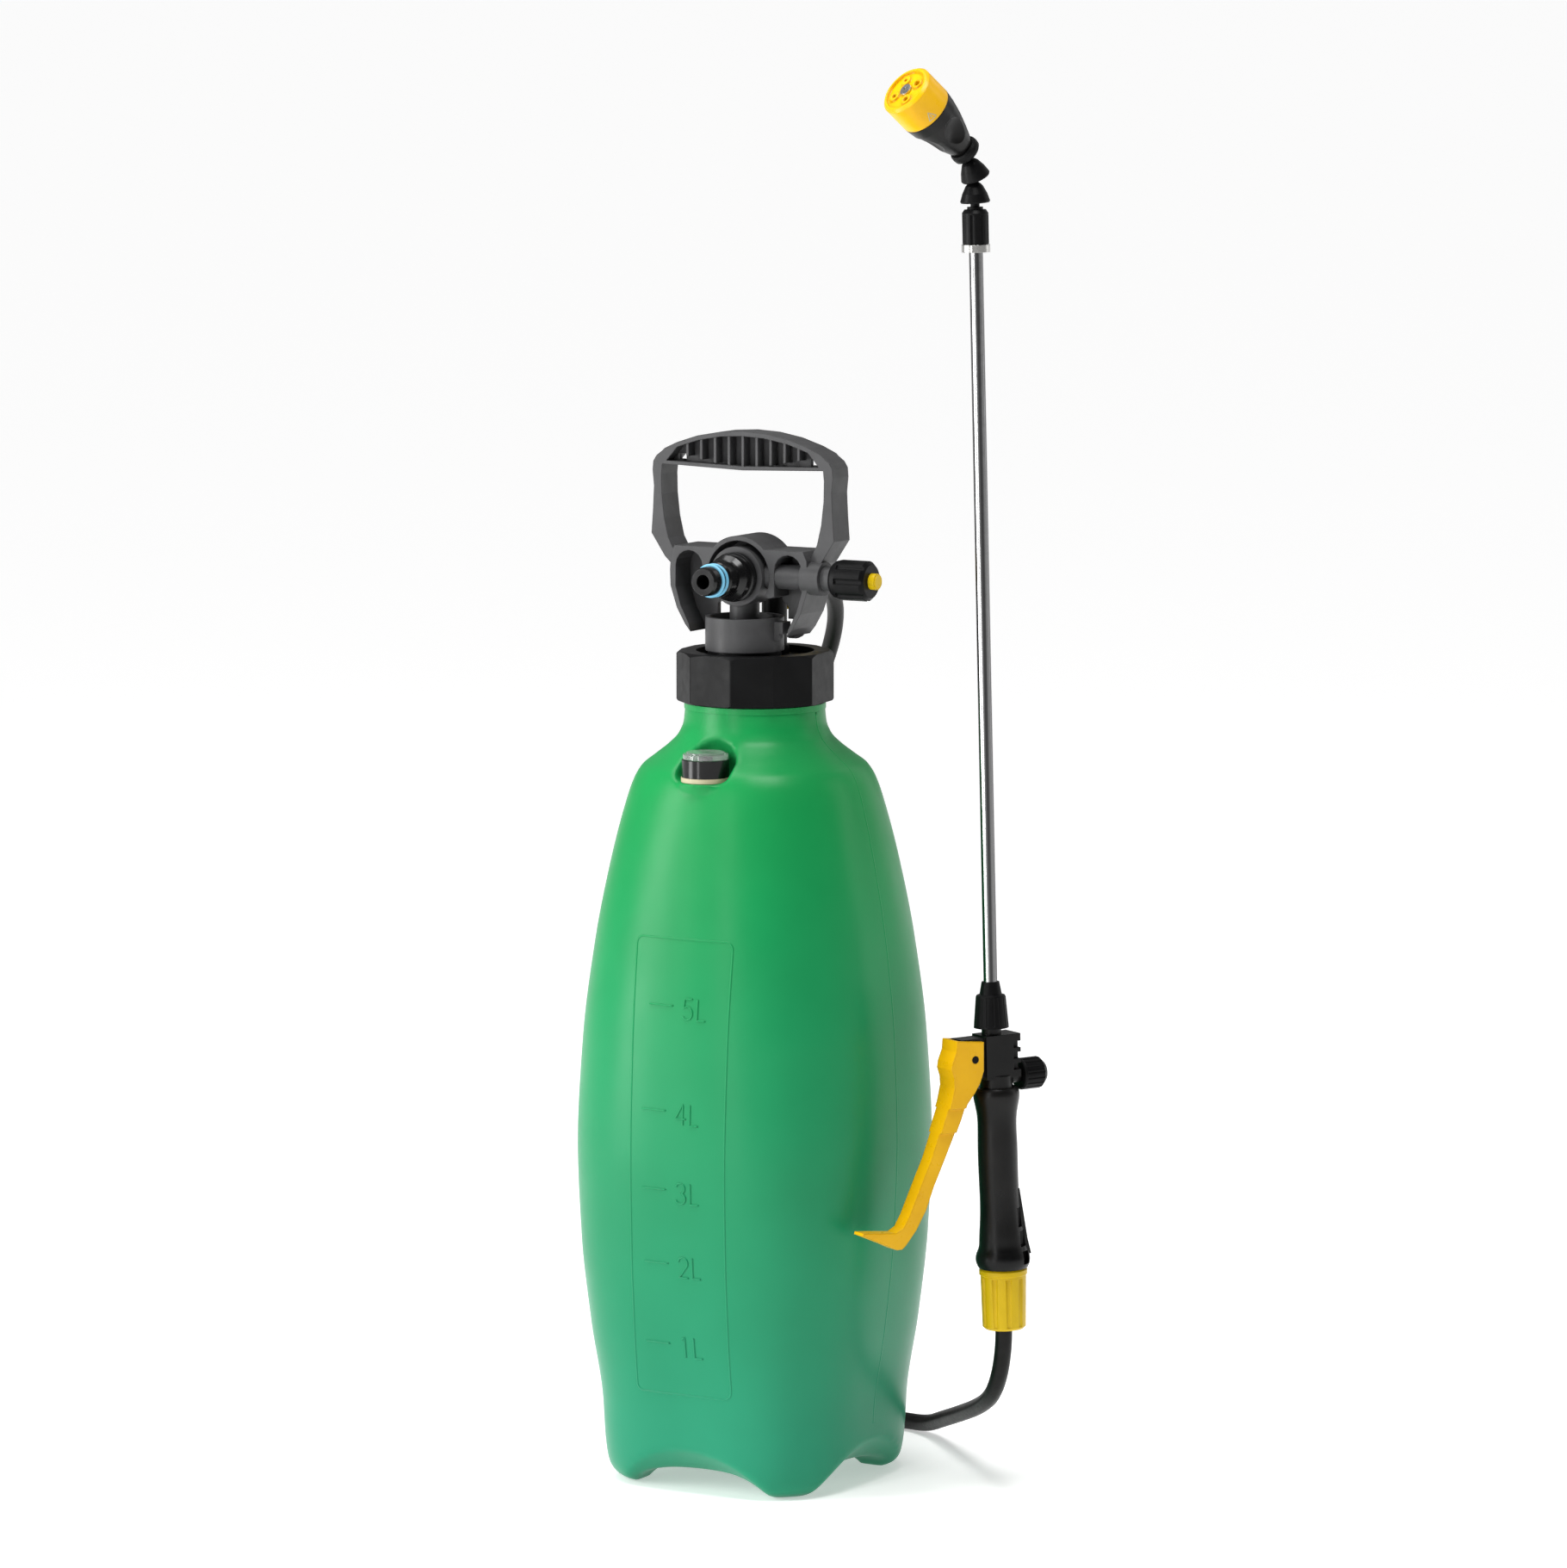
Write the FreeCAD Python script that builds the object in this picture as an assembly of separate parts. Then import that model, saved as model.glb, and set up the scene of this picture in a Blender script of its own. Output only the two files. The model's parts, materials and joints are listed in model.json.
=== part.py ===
"""Compression pump sprayer: five litre tank, handle pump, hose, trigger gun and lance.

Millimetres, +Z up, origin on the floor under the tank's axis. The pump handle is as wide as X,
the water inlet points along -Y, and the lance stands upright on the +X side.
"""
import FreeCAD
import Part

import math
import os

V = FreeCAD.Vector
X_AXIS, Y_AXIS, Z_AXIS = V(1, 0, 0), V(0, 1, 0), V(0, 0, 1)

# ---- driving dimensions -------------------------------------------------------------------
# Heights below are from a datum just above the floor. main() raises every piece by DATUM_H.
DATUM_H = 6.0
FLOOR = -DATUM_H
WALL = 2.0                      # tank wall
RUN = 0.06                      # radial clearance of a shaft that turns or slides in a bore
GAP = 0.3                       # free space between pieces that move past each other

# tank profile from the feet up: height, half width across the flats, squareness (2 is round)
TANK_PROFILE = [
    (-6.0, 59.5, 3.0), (-3.0, 64.6, 3.1), (3.0, 67.2, 3.2), (14.0, 68.6, 3.2), (36.0, 70.0, 3.15),
    (75.0, 76.0, 3.0), (120.0, 80.9, 2.9), (172.0, 83.1, 2.8), (222.0, 81.5, 2.65),
    (270.0, 76.8, 2.5), (310.0, 70.1, 2.4), (340.0, 63.4, 2.3), (353.0, 59.4, 2.25),
    (359.5, 55.8, 2.2), (365.0, 49.6, 2.1), (370.0, 43.6, 2.05), (375.4, 38.8, 2.0),
    (382.0, 36.2, 2.0), (391.0, 35.4, 2.0)]
FOOT_ARCH_H = 22.6              # height of the four arches between the feet, at the tank's wall
FOOT_ARCH_W = 38.5              # half width of an arch at the floor
FOOT_ARCH_Y = 68.6              # where the wall is
FOOT_ARCH_SLOPE = 0.6           # the arch's roof falls towards the middle
BELLY_H = 9.6                   # height of the base's underside between the feet
DOME_R, DOME_H = 46.0, 20.0     # dished middle of the base
BEAD_R = 36.0                   # bead under the neck's thread
FINISH_R = 33.0                 # threaded neck, outside
THREAD_R = 34.2                 # crest of the neck's thread ridges
MOUTH_R = 29.5
NECK_TOP = 409.5

# collar nut
NUT_Z0, NUT_Z1 = 392.2, 417.8
# corners: direction in degrees, radius
NUT_CORNERS = [(-150, 40.0), (-115, 40.0), (-78, 40.0), (-46, 38.2), (-14, 40.0), (30, 40.0),
               (75, 40.0), (120, 40.0), (165, 40.0)]
NUT_HOLE_R = 30.0
NUT_BORE_R = 34.6

# pump, whose axis stands off the tank's axis
PUMP_Y = -10.4
SEAL_T = 2.0
PLATE_T = 2.7
PLATE_R = 33.8
BARREL_R, BARREL_BORE_R = 17.5, 15.5
BARREL_Z0 = 246.0
CAP_R, CAP_BORE_R = 20.0, 17.5
CAP_Z0, CAP_Z1 = 418.9, 436.0
CAP_FLOOR_T = 4.1
LUG_R = 24.5
LUG_ANGLES = (0.0, 135.0)
ROD_R, ROD_BORE_R = 7.6, 5.05
PISTON_Z0, PISTON_Z1 = 252.0, 264.0
HUB_Z = 456.6
HUB_R = 15.1
HUB_FRONT = 8.6                 # hub's front face ahead of the pump's axis

# handle, an open frame that is symmetric about X = 0
HANDLE_BODY_Y = (-16.8, 6.8)
HANDLE_GRIP_Y = (-12.9, 3.0)
WEB_Y = (-2.0, 1.0)
GRIP_Z0, GRIP_TOP_Z = 509.8, 529.5
ARCH_R, ARCH_BORE_R = 20.4, 18.0
RIB_PITCH = 8.1

# cross tube with the fluted nut and the release button
TUBE_R = 6.3
CROSS_Z = 457.0
NUT2_X0, NUT2_X1, NUT2_R = 53.0, 73.5, 10.2
BUTTON_R = 4.1
BUTTON_OUT = 4.0

# relief valve on the shoulder
RELIEF_Y = -49.5
RELIEF_SEAT_Z = 355.9
RELIEF_R = 12.0
RECESS_R = 15.2                 # round niche in the shoulder, closed by a half ball
RECESS_BALL_Z = 366.0

# hose and its nuts
HOSE_R = 4.35
OUTLET_Y, OUTLET_Z = 19.5, 448.0
HOSE_NUT_R, HOSE_NUT_L = 12.2, 31.0
HOSE_TUCK = 11.0                # how far the hose goes into a nut
TANK_NUT_Y0 = 27.5
COIL_CENTRE = V(-73.1, 149.2, 0.0)
COIL_R = 12.0 * HOSE_R
COIL_START, COIL_END = 30.0, 300.0

# gun and lance, in their own frame: z up the lance, -x the way the trigger points
GUN_LEAN = 1.32                 # degrees off upright
LEAN_DIR = V(-0.8660, -0.5, 0)
TRIGGER_DIR = V(-0.5, -0.8660, 0)
GUN_NUT_AT = V(133.2, 21.5, 78.0)
GRIP_SHIFT = 4.15               # hose nut's axis beside the lance's axis
PIVOT = V(-14.1, 0, 140.0)      # trigger pin
TRIGGER_HALF_W = 7.3
LANCE_R = 3.5
LANCE_Z0, LANCE_Z1 = 160.0, 547.5
STUB_R, STUB_Z = 5.0, 168.0      # thread that the lance nut holds on
KNOB_Z, KNOB_R = 128.9, 8.05
TIP_NUT_R = 6.6
BALL_R, BALL_GAP = 3.4, 0.3
LINK_L = 12.0
BALL_Z = 572.0
BEND_TURN = 9.0                 # bend plane of the spray head against the trigger's plane
TILTS = (3.0, 26.0, 50.0)       # lower link, upper link and spray head against the lance
HEAD_R = 14.0
HEAD_W1, HEAD_W2 = 32.4, 49.3    # seam below the selector cap, and the cap's rim


# ---- helpers ------------------------------------------------------------------------------
def cyl(r, z0, z1, x=0.0, y=0.0):
    return Part.makeCylinder(r, z1 - z0, V(x, y, z0))


def rod(r, start, end):
    along = end - start
    return Part.makeCylinder(r, along.Length, start, along)


def tube(r_out, r_in, z0, z1, x=0.0, y=0.0):
    return cyl(r_out, z0, z1, x, y).cut(cyl(r_in, z0, z1, x, y))


def box(x0, x1, y0, y1, z0, z1):
    return Part.makeBox(x1 - x0, y1 - y0, z1 - z0, V(x0, y0, z0))


def lathe(points):
    """Turn a closed outline of (radius, height) points about Z."""
    wire = Part.makePolygon([V(r, 0, z) for r, z in points + points[:1]])
    return Part.Face(wire).revolve(V(0, 0, 0), Z_AXIS, 360)


def plate(points, y0, y1, smooth=False):
    """Extrude an outline of (x, z) points from y0 to y1."""
    corners = [V(x, y0, z) for x, z in points]
    if smooth:
        curve = Part.BSplineCurve()
        curve.interpolate(corners, PeriodicFlag=True)
        wire = Part.Wire([curve.toShape()])
    else:
        wire = Part.makePolygon(corners + corners[:1])
    return Part.Face(wire).extrude(V(0, y1 - y0, 0))


def polar(r, degrees, z=0.0):
    a = math.radians(degrees)
    return V(r * math.cos(a), r * math.sin(a), z)


def mirror_x(shape):
    return shape.mirror(V(0, 0, 0), X_AXIS)


def fluted(body, r, z0, z1, count, groove, x=0.0, y=0.0):
    """Cut round grooves along Z into a knob of radius r."""
    for i in range(count):
        c = polar(r + groove * 0.45, 360.0 * i / count)
        body = body.cut(cyl(groove, z0, z1, x + c.x, y + c.y))
    return body


def spring(mean_r, wire_r, z0, z1, turns):
    """A coil spring as one closed solid along Z."""
    pitch = (z1 - z0 - 2 * wire_r) / turns
    helix = Part.makeHelix(pitch, z1 - z0 - 2 * wire_r, mean_r)
    helix.translate(V(0, 0, z0 + wire_r))
    ring = Part.Wire([Part.makeCircle(wire_r, V(mean_r, 0, z0 + wire_r), Y_AXIS)])
    return Part.Wire(helix.Edges).makePipeShell([ring], True, True)


def smooth_route(points):
    """Straight runs joined by tangent arcs. Returns the wire, its length and the arc radii."""
    edges, radii = [], []
    at = points[0]
    for before, corner, after in zip(points, points[1:], points[2:]):
        back, ahead = before - corner, after - corner
        half_turn = (math.pi - back.getAngle(ahead)) / 2
        cut = 0.45 * min(back.Length, ahead.Length)
        radius = cut / math.tan(half_turn)
        back.normalize()
        ahead.normalize()
        start, end = corner + back * cut, corner + ahead * cut
        bisector = (back + ahead).normalize()
        middle = corner + bisector * (radius / math.cos(half_turn) - radius)
        edges += [Part.LineSegment(at, start).toShape(), Part.Arc(start, middle, end).toShape()]
        radii.append(radius)
        at = end
    edges.append(Part.LineSegment(at, points[-1]).toShape())
    return Part.Wire(edges), sum(e.Length for e in edges), radii


def hose_along(points, name):
    path, length, radii = smooth_route(points)
    start = path.Edges[0]
    ring = Part.Wire([Part.makeCircle(HOSE_R, points[0], start.tangentAt(start.FirstParameter))])
    solid = path.makePipeShell([ring], True, False)
    whole = math.pi * HOSE_R ** 2 * length
    print(name, "length", round(length, 1), "smallest radius", round(min(radii), 1),
          "radii", [round(r) for r in radii], "volume ratio", round(solid.Volume / whole, 4))
    return solid


# ---- frames of the gun and of the bending links -------------------------------------------
def gun_frame():
    lean = math.radians(GUN_LEAN)
    up = LEAN_DIR * math.sin(lean) + Z_AXIS * math.cos(lean)
    back = (TRIGGER_DIR * -1) - up * (up * (TRIGGER_DIR * -1))
    back.normalize()
    side = up.cross(back)
    turn = FreeCAD.Rotation(back, side, up, "ZXY")
    return FreeCAD.Placement(GUN_NUT_AT - back * GRIP_SHIFT, turn)


def bend_axis():
    """The axis that the links tilt about, in the gun's frame: a positive turn bends forwards."""
    return polar(1.0, 180 + BEND_TURN - 90) * -1


def link_frames():
    """Frames of the lower link, the upper link and the head, each at its ball's centre."""
    at = V(0, 0, BALL_Z)
    frames = []
    for tilt in TILTS:
        frame = FreeCAD.Placement(at, FreeCAD.Rotation(bend_axis(), tilt))
        frames.append(gun_frame().multiply(frame))
        at = frame.multVec(V(0, 0, LINK_L))
    return frames


def placed(shape, frame):
    moved = shape.copy()
    moved.Placement = frame.multiply(shape.Placement)
    return moved


# ---- tank ---------------------------------------------------------------------------------
def squared_ring(half_width, squareness, z):
    """A closed smooth ring between a circle and a square."""
    points = []
    for i in range(32):
        a = 2 * math.pi * i / 32
        c, s = abs(math.cos(a)), abs(math.sin(a))
        r = half_width / (c ** squareness + s ** squareness) ** (1 / squareness)
        points.append(V(r * math.cos(a), r * math.sin(a), z))
    curve = Part.BSplineCurve()
    curve.interpolate(points, PeriodicFlag=True)
    return Part.Wire([curve.toShape()])


def tank_body(inset):
    """The tank's outside, or with an inset its inside."""
    rings = []
    last = len(TANK_PROFILE) - 1
    for i, (z, a, n) in enumerate(TANK_PROFILE):
        z_a, a_a, _ = TANK_PROFILE[max(i - 1, 0)]
        z_b, a_b, _ = TANK_PROFILE[min(i + 1, last)]
        slope = math.hypot(z_b - z_a, a_b - a_a)
        a_in = a - inset * (z_b - z_a) / slope
        z_in = z + inset * (a_b - a_a) / slope if i != last else z
        rings.append(squared_ring(a_in, n, z_in))
    return Part.makeLoft(rings, True, False)


def arch_outline(w, h):
    """A rounded arch of half width w and height h above the floor, closed well below it."""
    side = [(w + 4, -8), (w - 0.5, 2), (w * 0.9, h * 0.55), (w * 0.65, h * 0.85), (w * 0.35, h * 0.97)]
    outline = [(-x, FLOOR + z) for x, z in side] + [(0, FLOOR + h)]
    return outline + [(x, FLOOR + z) for x, z in side[::-1]] + [(0, FLOOR - 14)]


def foot_arches(grow):
    """What is cut away below to leave four feet: a low cross, four rising arches and a dished middle."""
    w = FOOT_ARCH_W + grow
    low = plate(arch_outline(w, BELLY_H + grow), -100, 100, smooth=True)
    arch = plate(arch_outline(w, FOOT_ARCH_H + grow), 0, -60, smooth=True)
    lean = FreeCAD.Matrix()
    lean.A32 = -FOOT_ARCH_SLOPE
    arch = arch.transformGeometry(lean)
    arch.translate(V(0, 30 - FOOT_ARCH_Y, -FOOT_ARCH_SLOPE * 30))
    rise = DOME_H + grow
    ball_r = (DOME_R ** 2 + rise ** 2) / (2 * rise)
    dome = Part.makeSphere(ball_r, V(0, 0, FLOOR + rise - ball_r))
    cut = dome.common(box(-60, 60, -60, 60, FLOOR - 1, 40))
    for turn in (0, 90, 180, 270):
        side = arch.copy()
        side.rotate(V(0, 0, 0), Z_AXIS, turn)
        cut = cut.fuse(side)
    across = low.copy()
    across.rotate(V(0, 0, 0), Z_AXIS, 90)
    return cut.fuse([low, across])


def make_tank():
    outer = tank_body(0).common(box(-99, 99, -99, 99, FLOOR, 400)).cut(foot_arches(0))
    inner = tank_body(WALL).common(box(-99, 99, -99, 99, FLOOR + WALL, 400)).cut(foot_arches(WALL))
    finish = cyl(FINISH_R, 388, NECK_TOP).fuse(cyl(BEAD_R, 388.5, 391.5))
    for z in (396.0, 400.5, 405.0):
        finish = finish.fuse(lathe([(FINISH_R - 1, z - 1.4), (THREAD_R, z - 0.4),
                                    (THREAD_R, z + 0.4), (FINISH_R - 1, z + 1.4)]))
    mouth = cyl(MOUTH_R, 372, NECK_TOP + 1)
    plug = cyl(17.4, 346, 385, 0, RELIEF_Y).common(tank_body(0))
    boss = cyl(15.4, 348, RELIEF_SEAT_Z, 0, RELIEF_Y)
    recess = cyl(RECESS_R, RELIEF_SEAT_Z, RECESS_BALL_Z, 0, RELIEF_Y)
    recess = recess.fuse(Part.makeSphere(RECESS_R, V(0, RELIEF_Y, RECESS_BALL_Z)))
    tank = outer.cut(inner).fuse([finish, plug, boss]).cut(mouth).cut(recess)
    return tank.cut(cyl(5.2, 330, 360, 0, RELIEF_Y))


def make_collar_nut():
    corners = [polar(r, angle, NUT_Z0) for angle, r in NUT_CORNERS]
    block = Part.Face(Part.makePolygon(corners + corners[:1])).extrude(V(0, 0, NUT_Z1 - NUT_Z0))
    rounded = lathe([(0, NUT_Z0), (39.2, NUT_Z0), (39.9, NUT_Z0 + 0.8), (39.9, NUT_Z1 - 1.6),
                     (37.8, NUT_Z1), (0, NUT_Z1)])
    inside = cyl(NUT_BORE_R, NUT_Z0, NECK_TOP + SEAL_T + PLATE_T + GAP)
    return block.common(rounded).cut(inside).cut(cyl(NUT_HOLE_R, NUT_Z0, NUT_Z1))


# ---- relief valve -------------------------------------------------------------------------
def make_relief_valve():
    z = RELIEF_SEAT_Z
    at = (0, RELIEF_Y)
    washer = tube(12.3, 5.0, z, z + 2.4, *at)
    body = cyl(RELIEF_R, z + 2.4, z + 11.3, *at).fuse(cyl(4.9, 342, z + 2.4, *at))
    body = body.cut(cyl(9.5, z + 4.4, z + 10.1, *at)).cut(cyl(5.5, z + 4.4, z + 11.3, *at))
    body = body.cut(cyl(2.5 + RUN, 342, z + 5, *at))
    stem = cyl(2.5, 345, z + 12.6, *at)
    seal = tube(8.4, 2.5, z + 4.7, z + 6.2, *at)
    coil = spring(7.0, 0.5, z + 6.5, z + 9.8, 2.5)
    coil.translate(V(0, RELIEF_Y, 0))
    cap = cyl(11.4, z + 11.6, z + 14.0, *at).fuse(cyl(9.6, z + 14.0, z + 15.0, *at))
    cap = cap.cut(cyl(2.5, z + 11.6, z + 12.6, *at))
    return {"relief_washer": washer, "relief_body": body, "relief_stem": stem,
            "relief_seal": seal, "relief_spring": coil, "relief_cap": cap}


# ---- pump ---------------------------------------------------------------------------------
def make_pump():
    at = (0, PUMP_Y)
    seal_z, plate_z = NECK_TOP, NECK_TOP + SEAL_T
    top_z = plate_z + PLATE_T
    neck_seal = tube(33.4, 29.8, seal_z, plate_z)
    pump_plate = cyl(PLATE_R, plate_z, top_z).fuse(cyl(18.6, top_z, CAP_Z0, *at))
    pump_plate = pump_plate.fuse(cyl(7.5, top_z, CAP_Z0, 0, OUTLET_Y))
    pump_plate = pump_plate.cut(cyl(BARREL_R, plate_z, CAP_Z0, *at)).cut(cyl(4.0, plate_z, CAP_Z0, 0, OUTLET_Y))

    barrel = tube(BARREL_R, BARREL_BORE_R, BARREL_Z0, CAP_Z0, *at)
    floor = cyl(BARREL_BORE_R, BARREL_Z0, BARREL_Z0 + 3, *at)
    for i in range(4):
        hole = polar(7.0, 90 * i)
        floor = floor.cut(cyl(2.0, BARREL_Z0, BARREL_Z0 + 3, hole.x, PUMP_Y + hole.y))
    barrel = barrel.fuse(floor.cut(cyl(2.0, BARREL_Z0, BARREL_Z0 + 3, *at)))
    foot_valve = cyl(11.0, BARREL_Z0 - 2.0, BARREL_Z0, *at).fuse(cyl(2.0, BARREL_Z0 - 2, BARREL_Z0 + 3, *at))
    foot_valve = foot_valve.fuse(cyl(2.8, BARREL_Z0 + 3, BARREL_Z0 + 4.5, *at))

    floor_z = CAP_Z0 + CAP_FLOOR_T
    cap = tube(CAP_R, CAP_BORE_R, floor_z, CAP_Z1, *at).fuse(tube(CAP_R, 12.0, CAP_Z0, floor_z, *at))
    for angle in LUG_ANGLES:
        lug = box(CAP_R - 1.2, LUG_R, -4, 4, 428.2, 434.2).fuse(box(CAP_R - 1.2, LUG_R - 2, -4, -2, 424.5, 428.2))
        lug.rotate(V(0, 0, 0), Z_AXIS, angle)
        lug.translate(V(0, PUMP_Y, 0))
        cap = cap.fuse(lug)
    bush = tube(12.0, ROD_R + RUN, 413.0, floor_z, *at).fuse(tube(14.0, ROD_R + RUN, floor_z, floor_z + 1.5, *at))

    piston = cyl(BARREL_BORE_R - 0.6, PISTON_Z0, PISTON_Z1, *at).cut(tube(20, 12, 256, 260.5, *at))
    piston = piston.fuse(cyl(ROD_BORE_R - RUN, PISTON_Z1, PISTON_Z1 + 16, *at))
    piston_seal = tube(BARREL_BORE_R - 0.05, 12.0, 256, 260.5, *at)
    pump_rod = tube(ROD_R, ROD_BORE_R, PISTON_Z1 + GAP, 446, *at)

    dip = tube(3.9, 2.6, 44, CAP_Z0 + 8, 0, OUTLET_Y)
    strainer = tube(6.5, 3.9, 34, 50, 0, OUTLET_Y).fuse(cyl(6.5, 24, 34, 0, OUTLET_Y))
    strainer = strainer.cut(cyl(5.0, 26, 40, 0, OUTLET_Y).cut(cyl(3.9, 34, 40, 0, OUTLET_Y)))
    for i in range(8):
        slot = box(3, 8, -0.8, 0.8, 27, 33)
        slot.rotate(V(0, 0, 0), Z_AXIS, 22.5 + 45 * i)
        slot.translate(V(0, OUTLET_Y, 0))
        strainer = strainer.cut(slot)
    return {"neck_seal": neck_seal, "pump_plate": pump_plate, "pump_barrel": barrel,
            "barrel_foot_valve": foot_valve, "barrel_cap": cap, "rod_bush": bush,
            "piston_head": piston, "piston_seal": piston_seal, "pump_rod": pump_rod,
            "dip_tube": dip, "dip_strainer": strainer}


def make_outlet():
    """The elbow that carries the hose, its fluted nut, and the barb that the hose stops at."""
    bend = V(0, OUTLET_Y, OUTLET_Z)
    elbow = cyl(6.5, CAP_Z0, OUTLET_Z, 0, OUTLET_Y).fuse(Part.makeSphere(6.5, bend))
    elbow = elbow.fuse(rod(6.0, bend, V(0, 38, OUTLET_Z))).fuse(rod(4.3, bend, V(0, 44, OUTLET_Z)))
    elbow = elbow.cut(cyl(3.9, CAP_Z0, CAP_Z0 + 8, 0, OUTLET_Y)).cut(cyl(2.6, CAP_Z0, OUTLET_Z, 0, OUTLET_Y))
    elbow = elbow.cut(rod(2.4, bend, V(0, 44, OUTLET_Z)))
    nut = placed(hose_nut(), FreeCAD.Placement(V(0, TANK_NUT_Y0 + HOSE_NUT_L, OUTLET_Z),
                                               FreeCAD.Rotation(X_AXIS, 90)))
    return {"outlet_elbow": elbow, "tank_hose_nut": nut}


def hose_nut():
    """A fluted nut along Z with its hose end at 0."""
    r, length = HOSE_NUT_R, HOSE_NUT_L
    body = lathe([(0, 0), (r - 2.4, 0), (r - 1.2, 1.2), (r - 0.6, length - 3.5), (r, length - 3.0),
                  (r, length - 0.8), (r - 0.8, length), (0, length)])
    body = fluted(body, r - 0.9, 1.5, length - 4.5, 10, 1.6)
    return body.cut(cyl(HOSE_R + GAP, 0, 14)).cut(cyl(6.0 + RUN, 13, length))


# ---- handle -------------------------------------------------------------------------------
def arc_points(cx, cz, r, a0, a1, count):
    steps = [a0 + (a1 - a0) * i / (count - 1) for i in range(count)]
    return [(cx + r * math.cos(math.radians(a)), cz + r * math.sin(math.radians(a))) for a in steps]


def grip_arc(drop):
    """The grip's top arc from X = 0 outwards, lowered by drop."""
    xs = (0, 13, 26, 38, 45.5)
    return [(x, GRIP_TOP_Z - drop - 0.0043 * x * x - 0.00000030 * x ** 4) for x in xs]


def handle_half():
    """Right half of the handle, from the middle plane outwards."""
    leg = [(46.6, 514.2), (47.4, 506), (47.2, 496), (45.8, 484), (43.4, 474), (39.0, 466),
           (39.6, 459), (45.5, 464.5), (53.3, 476), (52.4, 488), (51.8, 500), (52.6, 508),
           (52.2, 512.5), (50.2, 515.6), (46.0, 518.6)]
    legs = plate(leg, *HANDLE_GRIP_Y)
    top = plate([(0, GRIP_Z0), (48.5, GRIP_Z0 + 1.6), (50, 515)] + grip_arc(0)[::-1], *HANDLE_GRIP_Y)
    pocket = [(0, GRIP_Z0 + 2.0), (44.5, GRIP_Z0 + 3.2)] + grip_arc(2.4)[:-1][::-1]
    front = plate(pocket, HANDLE_GRIP_Y[0] - 1, -6.2)
    rear = plate(pocket, -4.2, HANDLE_GRIP_Y[1] + 1)
    top = top.cut(front).cut(rear)
    for i in range(5):
        x = RIB_PITCH * i
        wall = box(x - 0.7, x + 0.7, HANDLE_GRIP_Y[0] + 0.6, HANDLE_GRIP_Y[1] - 0.6, GRIP_Z0 + 1, GRIP_TOP_Z)
        top = top.fuse(wall.common(plate(grip_arc(1)[::-1] + [(0, GRIP_Z0)], *HANDLE_GRIP_Y)))
    top = top.cut(box(36.5, 41.5, -8, 0, GRIP_Z0 + 2.4, 516.5))

    flank = [(0, 470.6), (37.5, 470.6), (39.6, 466), (40.1, 458), (39.8, 450), (36.1, 439), (31.4, 431),
             (27.4, 426.2), (25.0, 425.0), (20.6, 425.0), (20.6, 427.8), (25.4, 427.8), (25.4, 434.8),
             (20.6, 434.8), (20.6, 441), (17.6, 443.6), (16.6, 447.2), (0, 447.2)]
    lower = plate(flank, *HANDLE_BODY_Y)
    arched = arc_points(28.8, 460.6, 7.9, 0, 180, 9)
    cavity = arched + [(20.9, 447), (17.0, 446.0), (17.0, 420), (26.6, 420), (29.0, 431), (33.8, 440), (36.8, 450)]
    lower = lower.cut(plate(cavity, HANDLE_BODY_Y[0] - 1, WEB_Y[0]))
    lower = lower.cut(plate(cavity, WEB_Y[1], HANDLE_BODY_Y[1] + 1))
    return legs.fuse([top, lower])


def make_handle():
    half = handle_half().common(box(0, 60, -40, 40, 400, 560))
    whole = half.fuse(mirror_x(half))
    hub_line = V(0, 0, HUB_Z)
    y0, y1 = HANDLE_BODY_Y
    arch = rod(ARCH_R, hub_line + V(0, y0, 0), hub_line + V(0, y1, 0))
    arch = arch.common(box(-40, 40, -40, 40, HUB_Z - 9, 490))
    hollow = rod(ARCH_BORE_R, hub_line + V(0, y0 - 1, 0), hub_line + V(0, WEB_Y[0], 0))
    hollow_back = rod(ARCH_BORE_R, hub_line + V(0, WEB_Y[1], 0), hub_line + V(0, y1 + 1, 0))
    whole = whole.fuse(arch).cut(hollow).cut(hollow_back)
    whole = whole.cut(rod(TUBE_R, V(10, PUMP_Y, CROSS_Z), V(60, PUMP_Y, CROSS_Z)))
    boss = rod(8.6, V(36, PUMP_Y, CROSS_Z), V(47, PUMP_Y, CROSS_Z))
    whole = whole.fuse(boss.cut(rod(TUBE_R, V(30, PUMP_Y, CROSS_Z), V(60, PUMP_Y, CROSS_Z))))
    return whole.removeSplitter()


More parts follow.
